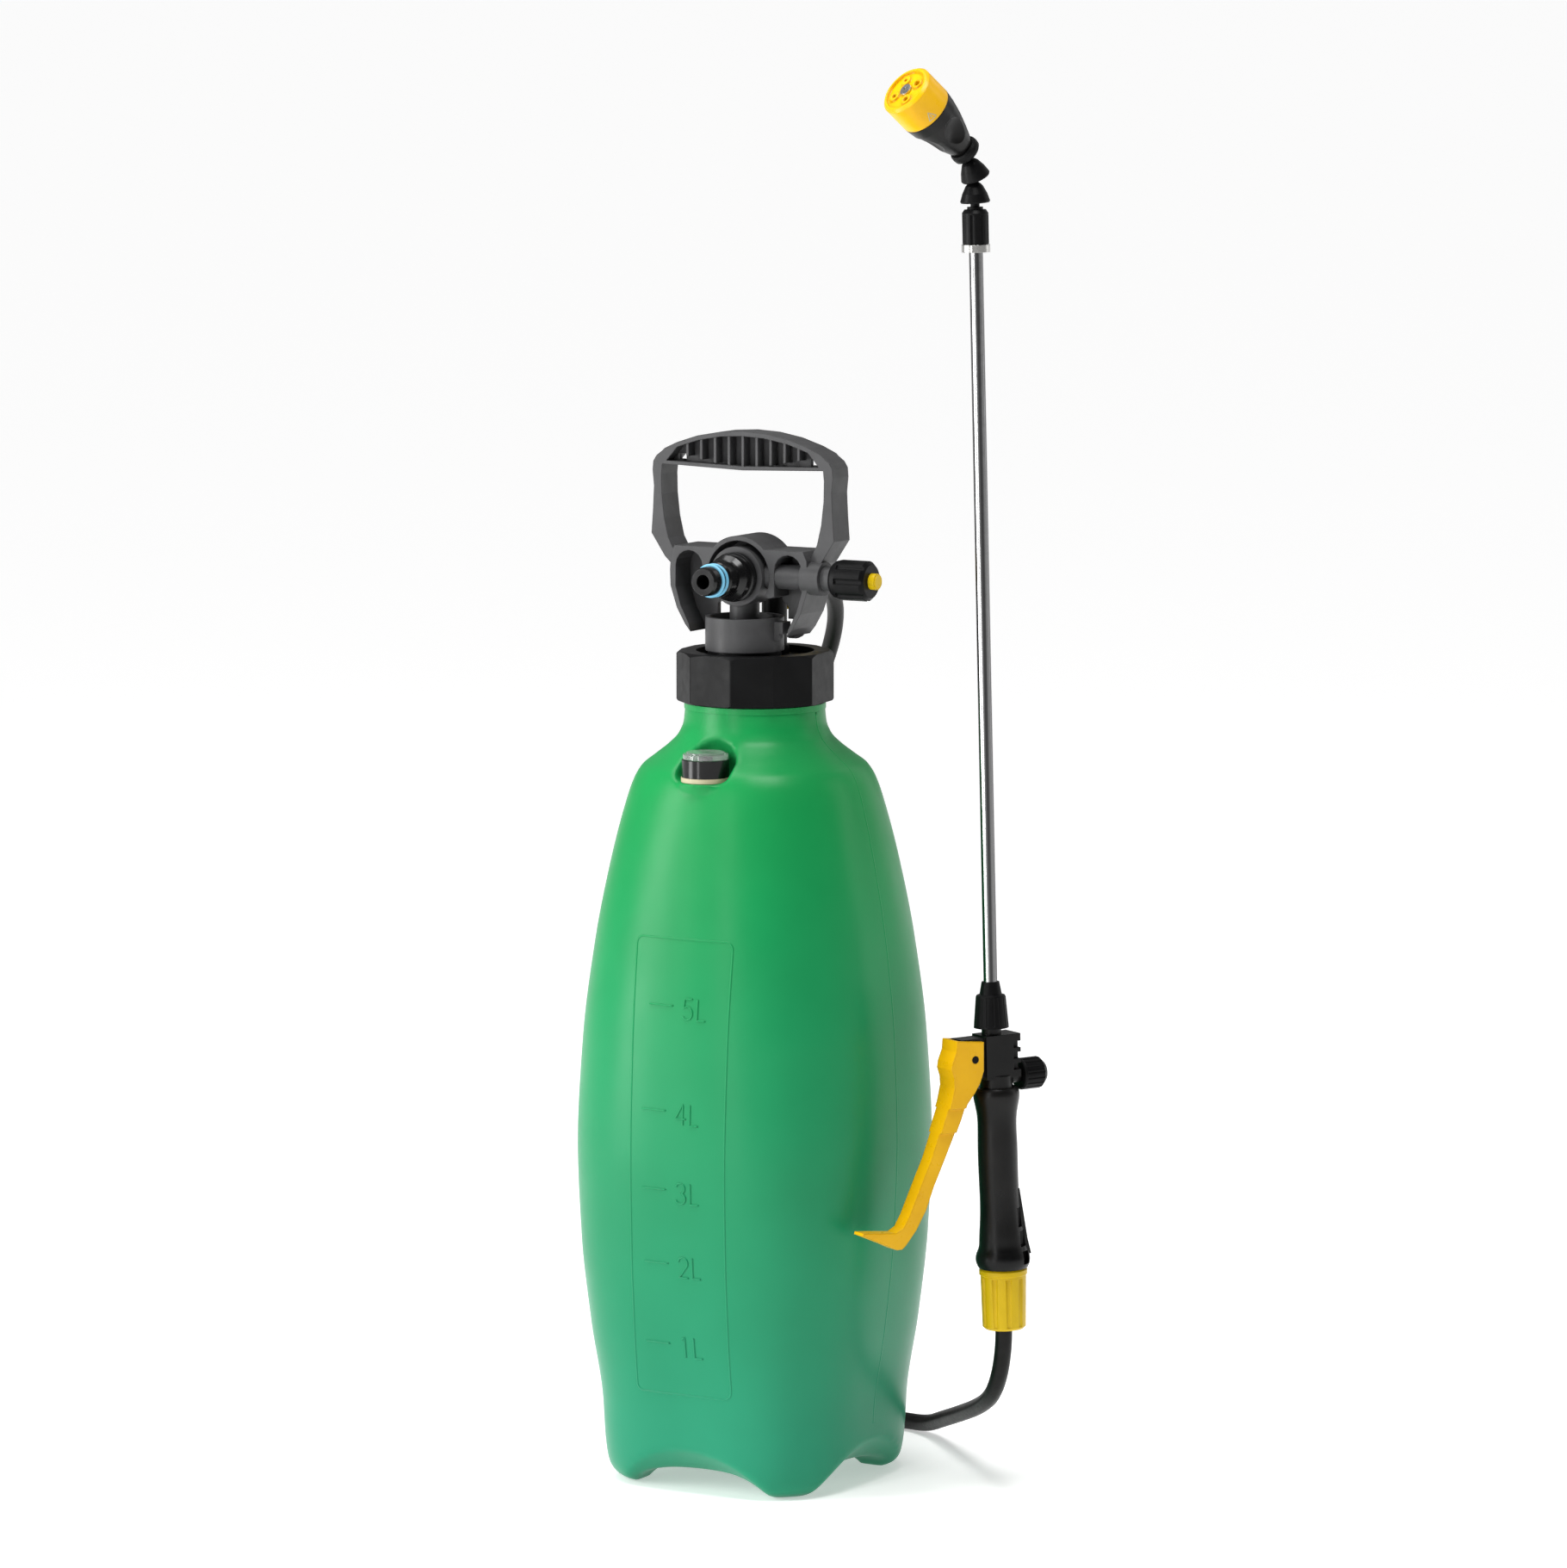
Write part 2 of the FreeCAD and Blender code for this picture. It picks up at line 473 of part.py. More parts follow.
def make_inlet():
    """Hub on top of the rod, its quick-coupling nipple, and the cross tube with its valve button."""
    axis = FreeCAD.Placement(V(0, PUMP_Y, HUB_Z), FreeCAD.Rotation(X_AXIS, 90))
    hub = placed(cyl(HUB_R, PUMP_Y - WEB_Y[0], HUB_FRONT), axis)
    hub = hub.cut(cyl(ROD_R, 430, 446, 0, PUMP_Y)).cut(cyl(4.0, 445, HUB_Z, 0, PUMP_Y))
    hub = hub.cut(placed(cyl(6.5, -2, HUB_FRONT), axis))
    hub = hub.cut(rod(TUBE_R, V(11, PUMP_Y, CROSS_Z), V(20, PUMP_Y, CROSS_Z)))
    nipple = lathe([(3.7, 0), (6.5, 0), (6.5, HUB_FRONT), (12.0, HUB_FRONT), (12.5, 9.2), (12.5, 12.4),
                    (11.6, 12.9), (11.4, 17.2), (9.4, 19.4), (8.8, 20.4), (8.8, 27.6), (8.2, 28.6),
                    (7.6, 28.8), (6.9, 29.2), (6.9, 31.8), (7.8, 31.8), (7.8, 32.8), (6.9, 32.8),
                    (6.9, 35.4), (7.5, 35.6), (7.3, 39.8), (6.6, 41.4), (3.7, 41.4)])
    rings = Part.makeCompound([Part.makeTorus(7.6, 0.95, V(0, 0, d), Z_AXIS) for d in (30.5, 34.1)])
    nipple = placed(nipple.cut(rings), axis)
    rings = placed(rings, axis)

    z = CROSS_Z
    cross = rod(TUBE_R, V(11, PUMP_Y, z), V(NUT2_X0 - GAP, PUMP_Y, z))
    cross = cross.fuse(rod(6.0, V(50, PUMP_Y, z), V(NUT2_X0 + 11, PUMP_Y, z)))
    cross = cross.cut(rod(3.6, V(11, PUMP_Y, z), V(66, PUMP_Y, z)))
    cross = cross.cut(rod(5.0, V(0, PUMP_Y, z), V(12, PUMP_Y, z)))
    sideways = FreeCAD.Placement(V(NUT2_X0, PUMP_Y, z), FreeCAD.Rotation(Y_AXIS, 90))
    length = NUT2_X1 - NUT2_X0
    nut = lathe([(0, 0), (NUT2_R - 1.6, 0), (NUT2_R - 0.6, 1.4), (NUT2_R, 4), (NUT2_R, length - 2),
                 (NUT2_R - 1.8, length), (0, length)])
    nut = fluted(nut, NUT2_R, 4, length + 1, 8, 1.9)
    nut = nut.cut(cyl(6.0 + RUN, -1, length - 3)).cut(cyl(BUTTON_R + RUN, 0, length + 1))
    button = cyl(BUTTON_R, length - 6, length + BUTTON_OUT - 0.6).fuse(
        cyl(BUTTON_R - 0.6, length, length + BUTTON_OUT)).fuse(cyl(5.4, length - 6.2, length - 3.4))
    coil = spring(2.9, 0.45, length - 14.5, length - 6.2, 5)
    return {"hub_body": hub, "inlet_nipple": nipple, "nipple_o_rings": rings, "cross_tube": cross,
            "cross_tube_nut": placed(nut, sideways), "release_button": placed(button, sideways),
            "button_spring": placed(coil, sideways)}


# ---- gun, in the gun's frame --------------------------------------------------------------
def make_gun_body():
    s = GRIP_SHIFT
    sections = [(31.3, 12.4, s), (33.0, 13.3, s), (38.8, 13.3, s), (41.0, 12.4, s), (46.0, 11.6, s - 0.3),
                (56.0, 10.6, s - 0.8), (75.0, 10.0, s - 1.6), (97.0, 10.0, s - 1.9), (113.0, 10.6, s - 2.0),
                (122.2, 11.4, s - 2.0), (123.7, 10.6, s - 2.0)]
    rings = [Part.Wire([Part.makeCircle(r, V(x, 0, z), Z_AXIS)]) for z, r, x in sections]
    grip = Part.makeLoft(rings, True, False)
    heel = plate([(s + 4, 72), (s + 6.4, 72), (s + 10.6, 46), (s + 12.6, 38), (s + 4, 38)], -7.0, 7.0)
    for z0, z1, depth in ((52.5, 62.5, 5.0), (42.6, 50.6, 6.0), (32.6, 40.6, 6.0)):
        heel = heel.cut(box(s + 4.4, s + 20, -4.6, 4.6, z0, z1))
        grip = grip.cut(box(s + 12.4 - depth, s + 20, -4.6, 4.6, z0, z1))
    for z0, z1, x0, x1 in ((52.6, 62.4, 3.4, 6.6), (42.6, 50.6, 4.0, 8.6), (33.8, 40.4, 4.4, 9.4)):
        for y in (-15.0, 6.6):
            grip = grip.cut(box(s + x0, s + x1, y, y + 8.4, z0, z1))
            heel = heel.cut(box(s + x0, s + x1, y, y + 8.4, z0, z1))
    band = cyl(8.4, 122, 130, 2.2)
    head = box(-7.2, 12.8, -7.0, 7.0, 128.8, 151.0)
    for z in (132.6, 138.2, 143.8):
        head = head.cut(box(8.6, 13.6, -8, -4.2, z, z + 3.4)).cut(box(8.6, 13.6, 4.2, 8, z, z + 3.4))
    tongue = plate([(-4, 129.0), (-15.6, 131.8), (-18.8, 137), (-20.6, 143), (-20.6, 150.2), (-4, 150.2)], -5.2, 5.2)
    stub = cyl(STUB_R, 150, STUB_Z)
    tail = cyl(6.0, 19, 33, s)
    barb = cyl(4.3, HOSE_TUCK + GAP, 20, s)
    neck = rod(4.0, V(10, 0, KNOB_Z), V(15, 0, KNOB_Z))
    body = grip.fuse([heel, band, head, tongue, stub, tail, barb, neck]).removeSplitter()
    body = body.cut(cyl(2.4, HOSE_TUCK, 34, s)).cut(cyl(4.6, 33, 112, s - 1.9)).cut(cyl(2.6, 111, 161))
    body = body.cut(cyl(LANCE_R, LANCE_Z0, STUB_Z))
    body = body.cut(rod(1.5 + RUN, V(-21, 0, 135), V(4, 0, 135))).cut(rod(4.4, V(1, 0, 135), V(9.5, 0, 135)))
    body = body.cut(rod(1.9, V(PIVOT.x, -9, PIVOT.z), V(PIVOT.x, 9, PIVOT.z)))
    return body.cut(rod(2.0 + RUN, V(10.8, 0, KNOB_Z), V(16, 0, KNOB_Z)))


def make_trigger():
    front = [(-24.4, 150.4), (-25.0, 145), (-27.4, 139.4), (-28.0, 136), (-26.6, 131.6), (-26.4, 127),
             (-28.6, 118.5), (-31.6, 111), (-36.0, 100), (-39.6, 91), (-44.2, 82), (-53.0, 64),
             (-56.6, 58.4), (-60.6, 56.4), (-68.0, 57.2), (-79.6, 58.4), (-80.0, 57.0)]
    back = [(-66.0, 50.6), (-60.6, 47.9), (-57.6, 47.9), (-55.4, 49.6), (-49.2, 56.6), (-43.1, 66.3),
            (-38.3, 77.8), (-32.1, 90.1), (-27.0, 100.4), (-22.4, 110.2), (-19.3, 117.9), (-14.6, 123.4),
            (-11.5, 128.1), (-9.3, 133.9), (-9.0, 148.6)]
    w = TRIGGER_HALF_W
    body = plate(front + back, -w, w)
    side_cut = plate([(-10, 40), (-10, 104), (-60, 104), (-95, 70), (-95, 40)], 4.6, 9)
    blend_cut = plate([(-10, 104), (-10, 116), (-50, 116), (-60, 104)], 6.0, 9)
    for cutter in (side_cut, blend_cut):
        body = body.cut(cutter).cut(cutter.mirror(V(0, 0, 0), Y_AXIS))
    body = body.cut(plate([(-22.4, 160), (-23.2, 140), (-23.6, 134), (-22.6, 126), (-21.0, 119.5), (0, 119.5),
                           (0, 160)], -5.6, 5.6))
    return body.cut(rod(1.9 + RUN, V(PIVOT.x, -9, PIVOT.z), V(PIVOT.x, 9, PIVOT.z)))


def make_knob():
    axis = FreeCAD.Placement(V(0, 0, KNOB_Z), FreeCAD.Rotation(Y_AXIS, 90))
    knob = lathe([(0, 15.3), (7.4, 15.3), (KNOB_R, 16.2), (KNOB_R, 26.6), (5.6, 29.3), (0, 29.3)])
    knob = fluted(knob, KNOB_R, 16.5, 30, 18, 0.8)
    stem = cyl(2.0, 11.0, 16)
    return placed(knob.fuse(stem), axis)


def make_lance_end_parts():
    tip_ring = lathe([(0, 544.0), (7.15, 544.0), (7.15, 547.8), (0, 547.8)])
    tip_ring = tip_ring.common(ten_sided(7.4, 543, 549)).cut(cyl(LANCE_R, 540, 550))
    connector = cyl(4.0, 547.8, 566.5).fuse(cyl(2.3, 566, BALL_Z))
    connector = connector.fuse(Part.makeSphere(BALL_R, V(0, 0, BALL_Z)))
    nut = lathe([(0, 548.1), (TIP_NUT_R, 548.1), (TIP_NUT_R, 563.4), (5.4, 565.2), (0, 565.2)])
    nut = fluted(nut, TIP_NUT_R, 547, 562.6, 8, 1.3).cut(cyl(4.0 + RUN, 547, 566))
    return tip_ring, connector, nut


def ten_sided(r, z0, z1):
    corners = [polar(r, 36 * i, z0) for i in range(10)]
    return Part.Face(Part.makePolygon(corners + corners[:1])).extrude(V(0, 0, z1 - z0))


def make_lance_nut():
    cone = lathe([(0, 154.4), (8.9, 154.4), (7.6, 170.0), (7.2, 170.8), (5.7, 171.3), (4.5, 177.6), (0, 177.6)])
    for i in range(16):
        groove = rod(0.8, polar(9.4, 22.5 * i, 155.6), polar(8.1, 22.5 * i, 171.2))
        cone = cone.cut(groove)
    return cone.cut(cyl(STUB_R + RUN, 154, STUB_Z + 2.4)).cut(cyl(LANCE_R + RUN, 169, 180))


def make_gun():
    s = GRIP_SHIFT
    tip_ring, connector, tip_nut = make_lance_end_parts()
    pin = rod(1.9, V(PIVOT.x, -TRIGGER_HALF_W, PIVOT.z), V(PIVOT.x, TRIGGER_HALF_W, PIVOT.z))
    stem = rod(1.5, V(-22.2, 0, 135), V(2.2, 0, 135)).fuse(rod(3.4, V(2.2, 0, 135), V(3.6, 0, 135)))
    seal = rod(3.4, V(1.0 + RUN, 0, 135), V(2.2, 0, 135)).cut(rod(1.5, V(0, 0, 135), V(3, 0, 135)))
    coil = placed(spring(2.6, 0.35, 3.7, 9.4, 4), FreeCAD.Placement(V(0, 0, 135), FreeCAD.Rotation(Y_AXIS, 90)))
    strainer = tube(3.6, 2.8, 40, 96, s - 1.9).fuse(tube(4.55, 2.8, 96, 99, s - 1.9))
    lance = tube(LANCE_R, 2.6, LANCE_Z0, LANCE_Z1)
    lance_seal = tube(STUB_R, LANCE_R, STUB_Z, STUB_Z + 2.1)
    pieces = {"gun_body": make_gun_body(), "trigger_lever": make_trigger(), "trigger_pin": pin,
              "gun_valve_stem": stem, "gun_valve_seal": seal, "gun_valve_spring": coil,
              "gun_strainer": strainer, "gun_knob": make_knob(), "lance_nut": make_lance_nut(),
              "lance_seal": lance_seal, "lance_tube": lance, "tip_ring": tip_ring,
              "tip_connector": connector, "tip_nut": tip_nut}
    at = gun_frame()
    placed_pieces = {name: placed(shape, at) for name, shape in pieces.items()}
    nut_frame = FreeCAD.Placement(V(s, 0, 0), FreeCAD.Rotation())
    placed_pieces["gun_hose_nut"] = placed(placed(hose_nut(), nut_frame), at)
    return placed_pieces


# ---- bending links and spray head, each in its own frame ----------------------------------
def socket(depth, mouth_r):
    """The hollow that a ball sits in, open downwards."""
    r = BALL_R + BALL_GAP
    cone = Part.makeCone(mouth_r, r * 0.86, depth - 1.8, V(0, 0, -depth))
    return Part.makeSphere(r).fuse(cone)


def make_link():
    bell = lathe([(0, -3.5), (7.1, -3.5), (7.5, -2.8), (6.3, 1.0), (4.4, 4.8), (3.4, 5.9), (2.3, 6.8),
                  (1.7, 8.2), (1.7, LINK_L), (0, LINK_L)])
    bell = bell.fuse(Part.makeSphere(BALL_R, V(0, 0, LINK_L)))
    return bell.cut(socket(4.5, 6.6))


def make_head():
    ring = lathe([(4.6, -2.6), (6.6, -2.6), (7.5, -1.6), (7.7, 0), (7.5, 1.6), (6.8, 2.6), (4.6, 2.6)])
    ring = ring.fuse(cyl(7.0, -1.9, 2.6)).cut(socket(4.0, 5.6))
    body = lathe([(0, 2.6), (5.8, 2.6), (7.2, 5.6), (9.0, 10.6), (11.6, 19.0), (13.2, 26.4), (HEAD_R, HEAD_W1),
                  (10.9, HEAD_W1), (10.9, 42.5), (0, 42.5)])
    for i in range(4):
        body = body.cut(Part.makeSphere(16.0, polar(24.0, 90 * i, 14.5)))
    body = body.cut(Part.makeSphere(BALL_R + BALL_GAP)).cut(cyl(2.0, 3, 36)).cut(cyl(8.0, 36, 43))
    core = tube(7.9, 2.4, 36, 44.5)
    return {"head_ring": ring, "spray_head": body, "nozzle_core": core}


def make_selector():
    cap = lathe([(0, HEAD_W1 + GAP), (HEAD_R, HEAD_W1 + GAP), (HEAD_R, HEAD_W2 - 1.4), (HEAD_R - 1.4, HEAD_W2),
                 (0, HEAD_W2)])
    cap = cap.cut(cyl(10.9 + RUN, HEAD_W1, 44.8)).cut(cyl(11.4, HEAD_W2 - 1.4, HEAD_W2 + 1))
    for i in range(4):
        c = polar(7.0, 45 + 90 * i)
        cap = cap.fuse(cyl(2.9, 46, HEAD_W2 - 0.4, c.x, c.y)).cut(cyl(1.0 + 0.25 * i, 44, HEAD_W2, c.x, c.y))
    cap = cap.cut(cyl(2.0 + RUN, 44, 50))
    screw = cyl(2.0, 42.5, 47.9).fuse(cyl(3.2, 48.1, 49.2)).fuse(cyl(2.0, 47.5, 48.2))
    for turn in (0, 90):
        slot = box(-2.2, 2.2, -0.35, 0.35, 48.5, 50)
        slot.rotate(V(0, 0, 0), Z_AXIS, turn)
        screw = screw.cut(slot)
    return {"selector_cap": cap, "selector_screw": screw}


def make_spray_end():
    lower, upper, head = link_frames()
    pieces = {"lower_link": placed(make_link(), lower), "upper_link": placed(make_link(), upper)}
    for name, shape in {**make_head(), **make_selector()}.items():
        pieces[name] = placed(shape, head)
    return pieces


# ---- hose ---------------------------------------------------------------------------------
def coil_point(degrees, z):
    return COIL_CENTRE + polar(COIL_R, degrees, z)


def make_hose():
    """Upper hose down to the coil, the coil's outer shape, and the lead along the floor to the gun."""
    low, high = FLOOR + HOSE_R, FLOOR + 3 * HOSE_R
    upper = [V(0, 44, 448), V(0, 68, 448), V(-4, 91, 435), V(-15, 107, 412), V(-32, 112, 378),
             V(-40, 115, 340), V(-37, 118, 262), V(-22, 120, 175), V(-4, 121, 96), V(2.9, 122.1, 44),
             V(-3.7, 133.3, 20.5), V(-14.9, 152.8, high), coil_point(COIL_START, high)]
    nut_end = gun_frame().multVec(V(GRIP_SHIFT, 0, HOSE_TUCK))
    lead = [coil_point(COIL_END, low), V(-28, 115, low), V(-8, 125, low), V(14, 128, low),
            V(34, 121, -0.6), V(52, 105, 7), V(76, 80, 17), V(99, 56.6, 27.1), V(115.9, 39.4, 36.8),
            V(125.5, 29.5, 48.4), V(131.1, 23.8, 62.3), V(133.2, 21.5, 77), nut_end]
    coil = tube(COIL_R + HOSE_R, COIL_R - HOSE_R, FLOOR, FLOOR + 4 * HOSE_R, COIL_CENTRE.x, COIL_CENTRE.y)
    coil_length = 2 * math.pi * COIL_R * (COIL_END - COIL_START + 360) / 360
    print("coil length", round(coil_length, 1))
    return {"hose_upper": hose_along(upper, "hose_upper"), "hose_coil": coil,
            "hose_lead": hose_along(lead, "hose_lead")}


def make_all():
    parts = {"tank": make_tank(), "collar_nut": make_collar_nut(), "handle": make_handle()}
    for group in (make_relief_valve(), make_pump(), make_outlet(), make_inlet(), make_gun(),
                  make_spray_end(), make_hose()):
        parts.update(group)
    return parts


def main():
    os.makedirs("parts", exist_ok=True)
    parts = make_all()
    for name, shape in parts.items():
        shape.translate(V(0, 0, DATUM_H))
        if not shape.isValid():
            print("not valid:", name)
        print(name, "solids", len(shape.Solids), "volume", round(shape.Volume))
        shape.exportStep("parts/" + name + ".step")
    print(len(parts), "nodes")


if __name__ == "__main__":
    main()
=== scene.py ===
"""Looks for the pump sprayer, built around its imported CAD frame. Metres, +Z up."""

import json
import math

import bmesh
import bpy
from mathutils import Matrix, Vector


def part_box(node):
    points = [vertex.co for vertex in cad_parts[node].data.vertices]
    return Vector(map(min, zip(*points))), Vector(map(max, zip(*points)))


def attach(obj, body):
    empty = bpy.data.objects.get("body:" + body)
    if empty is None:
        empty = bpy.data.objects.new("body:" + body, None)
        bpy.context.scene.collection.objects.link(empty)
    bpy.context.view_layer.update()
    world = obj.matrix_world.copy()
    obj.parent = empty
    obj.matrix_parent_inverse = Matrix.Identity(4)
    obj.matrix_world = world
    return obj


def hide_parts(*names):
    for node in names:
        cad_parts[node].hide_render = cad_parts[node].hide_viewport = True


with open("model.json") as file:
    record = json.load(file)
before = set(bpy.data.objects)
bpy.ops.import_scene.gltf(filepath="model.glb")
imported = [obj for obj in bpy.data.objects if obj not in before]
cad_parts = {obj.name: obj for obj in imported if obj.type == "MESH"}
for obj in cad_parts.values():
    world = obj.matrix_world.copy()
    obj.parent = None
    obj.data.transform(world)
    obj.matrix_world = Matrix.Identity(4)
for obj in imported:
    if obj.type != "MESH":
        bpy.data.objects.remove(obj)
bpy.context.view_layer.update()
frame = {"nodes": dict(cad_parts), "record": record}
SCENE = bpy.context.scene
SLOT_OF = {s["node"]: s["material_slot"] for s in frame["record"]["subparts"]}

# the camera stands in front (-Y) and this far round towards +X
VIEW_ANGLE = math.radians(30)
RIGHT = Vector((math.cos(VIEW_ANGLE), math.sin(VIEW_ANGLE), 0))
TOWARD = Vector((math.sin(VIEW_ANGLE), -math.cos(VIEW_ANGLE), 0))
CAMERA_AT = (1.9125, -3.2837, 0.8360)
CAMERA_AIM = (0.01247, 0.0072, 0.3552)
FLOOR_HALF = 60.0
FLOOR_DROP = 0.0001
WORLD_BEHIND, WORLD_IN_FRONT = 0.26, 0.03


# ---- camera, light and floor --------------------------------------------------------------
def look_at(obj, target):
    direction = Vector(target) - obj.location
    obj.rotation_euler = direction.to_track_quat("-Z", "Y").to_euler()


def make_camera():
    data = bpy.data.cameras.new("camera")
    data.sensor_width = 36.0
    data.lens = 173.2
    data.clip_end = 200.0
    camera = bpy.data.objects.new("camera", data)
    SCENE.collection.objects.link(camera)
    camera.location = CAMERA_AT
    look_at(camera, CAMERA_AIM)
    SCENE.camera = camera


def softbox(name, side, front, height, width, tall, power, aim=0.33):
    """An area light placed by its distance to the right of, in front of and above the object."""
    data = bpy.data.lights.new(name, "AREA")
    data.shape = "RECTANGLE"
    data.size = width
    data.size_y = tall
    data.energy = power
    light = bpy.data.objects.new(name, data)
    SCENE.collection.objects.link(light)
    light.location = RIGHT * side + TOWARD * front + Vector((0, 0, height))
    look_at(light, (0, 0, aim))


def overhead(strength):
    """A broad light from above and a little to the left, which sets the object on the floor."""
    data = bpy.data.lights.new("overhead", "SUN")
    data.energy = strength
    data.angle = math.radians(35)
    light = bpy.data.objects.new("overhead", data)
    SCENE.collection.objects.link(light)
    light.location = RIGHT * -0.9 + TOWARD * -0.5 + Vector((0, 0, 3.0))
    look_at(light, (0, 0, 0))


def make_world():
    """White light from behind the object, falling off to a dim wall in front of it."""
    world = bpy.data.worlds.new("studio")
    SCENE.world = world
    world.use_nodes = True
    tree = world.node_tree
    tree.nodes.clear()
    coords = tree.nodes.new("ShaderNodeTexCoord")
    dot = tree.nodes.new("ShaderNodeVectorMath")
    dot.operation = "DOT_PRODUCT"
    dot.inputs[1].default_value = TOWARD
    span = tree.nodes.new("ShaderNodeMapRange")
    span.interpolation_type = "SMOOTHSTEP"
    span.inputs["From Min"].default_value = -0.1
    span.inputs["From Max"].default_value = 0.75
    span.inputs["To Min"].default_value = WORLD_BEHIND
    span.inputs["To Max"].default_value = WORLD_IN_FRONT
    back = tree.nodes.new("ShaderNodeBackground")
    out = tree.nodes.new("ShaderNodeOutputWorld")
    tree.links.new(coords.outputs["Generated"], dot.inputs[0])
    tree.links.new(dot.outputs["Value"], span.inputs["Value"])
    tree.links.new(span.outputs["Result"], back.inputs["Strength"])
    back.inputs["Color"].default_value = (1, 1, 1, 1)
    tree.links.new(back.outputs["Background"], out.inputs["Surface"])


def make_floor():
    mesh = bpy.data.meshes.new("floor")
    half = FLOOR_HALF
    corners = [(-half, -half, 0), (half, -half, 0), (half, half, 0), (-half, half, 0)]
    mesh.from_pydata(corners, [], [(0, 1, 2, 3)])
    floor = bpy.data.objects.new("floor", mesh)
    SCENE.collection.objects.link(floor)
    floor.location.z = -FLOOR_DROP
    mat = bpy.data.materials.new("floor_paper")
    mat.use_nodes = True
    bsdf = mat.node_tree.nodes["Principled BSDF"]
    bsdf.inputs["Base Color"].default_value = (0.86, 0.86, 0.86, 1)
    bsdf.inputs["Roughness"].default_value = 0.9
    bsdf.inputs["Specular IOR Level"].default_value = 0.1
    bsdf.inputs["Emission Color"].default_value = (1, 1, 1, 1)
    bsdf.inputs["Emission Strength"].default_value = 0.42
    mesh.materials.append(mat)


SCENE.view_settings.view_transform = "Standard"
SCENE.view_settings.look = "None"
make_camera()
make_world()
make_floor()
overhead(1.5)
softbox("key", -1.7, 0.45, 0.75, 0.6, 1.7, 30)
softbox("fill", 1.7, -0.3, 0.7, 0.4, 1.5, 3)
softbox("strip", -0.95, 1.35, 0.6, 0.16, 1.7, 8)
softbox("top", 0.1, 0.5, 1.7, 0.6, 0.6, 14)
softbox("rim", 1.2, -1.2, 0.9, 0.6, 1.5, 2)


# ---- materials ----------------------------------------------------------------------------
def wire(tree, a, b):
    tree.links.new(a, b)


def noise(tree, coords, scale, detail=3.0, roughness=0.5):
    node = tree.nodes.new("ShaderNodeTexNoise")
    node.inputs["Scale"].default_value = scale
    node.inputs["Detail"].default_value = detail
    node.inputs["Roughness"].default_value = roughness
    wire(tree, coords, node.inputs["Vector"])
    return node.outputs["Fac"]


def spread(tree, value, low, high):
    """Map a noise value from about 0.3..0.7 to low..high."""
    node = tree.nodes.new("ShaderNodeMapRange")
    node.inputs["From Min"].default_value = 0.3
    node.inputs["From Max"].default_value = 0.7
    node.inputs["To Min"].default_value = low
    node.inputs["To Max"].default_value = high
    wire(tree, value, node.inputs["Value"])
    return node.outputs["Result"]


def two_colours(tree, fac, first, second):
    node = tree.nodes.new("ShaderNodeMix")
    node.data_type = "RGBA"
    wire(tree, fac, node.inputs["Factor"])
    node.inputs["A"].default_value = (*first, 1)
    node.inputs["B"].default_value = (*second, 1)
    return node.outputs["Result"]


def plastic(name, dark, light, rough, mottle=60.0, grain=1800.0, bump=0.06, rounding=0.0004, **sockets):
    """Moulded surface: two close colours, uneven gloss, fine grain, and softened edges."""
    mat = bpy.data.materials.new(name)
    mat.use_nodes = True
    tree = mat.node_tree
    bsdf = tree.nodes["Principled BSDF"]
    coords = tree.nodes.new("ShaderNodeTexCoord").outputs["Object"]
    patches = noise(tree, coords, mottle)
    wire(tree, two_colours(tree, spread(tree, patches, 0.0, 1.0), dark, light), bsdf.inputs["Base Color"])
    gloss = noise(tree, coords, mottle * 2.3, 5.0, 0.6)
    wire(tree, spread(tree, gloss, rough - 0.05, rough + 0.06), bsdf.inputs["Roughness"])
    fine = noise(tree, coords, grain, 2.0)
    bumps = tree.nodes.new("ShaderNodeBump")
    bumps.inputs["Strength"].default_value = bump
    bumps.inputs["Distance"].default_value = 0.0004
    wire(tree, fine, bumps.inputs["Height"])
    if rounding:
        edge = tree.nodes.new("ShaderNodeBevel")
        edge.samples = 4
        edge.inputs["Radius"].default_value = rounding
        wire(tree, edge.outputs["Normal"], bumps.inputs["Normal"])
    wire(tree, bumps.outputs["Normal"], bsdf.inputs["Normal"])
    for socket, value in sockets.items():
        bsdf.inputs[socket.replace("_", " ")].default_value = value
    return mat


def metal(name, colour, rough, along=0.12, **sockets):
    """Drawn metal with fine lines along Z and a little uneven polish."""
    mat = plastic(name, [c * 0.9 for c in colour], colour, rough, 90.0, 900.0, 0.03, 0.0003,
                  Metallic=1.0, **sockets)
    tree = mat.node_tree
    coords = [n for n in tree.nodes if n.type == "TEX_COORD"][0]
    lines = [n for n in tree.nodes if n.type == "TEX_NOISE"][-1]
    squeeze = tree.nodes.new("ShaderNodeVectorMath")
    squeeze.operation = "MULTIPLY"
    squeeze.inputs[1].default_value = (1.0, 1.0, along)
    wire(tree, coords.outputs["Object"], squeeze.inputs[0])
    wire(tree, squeeze.outputs["Vector"], lines.inputs["Vector"])
    return mat


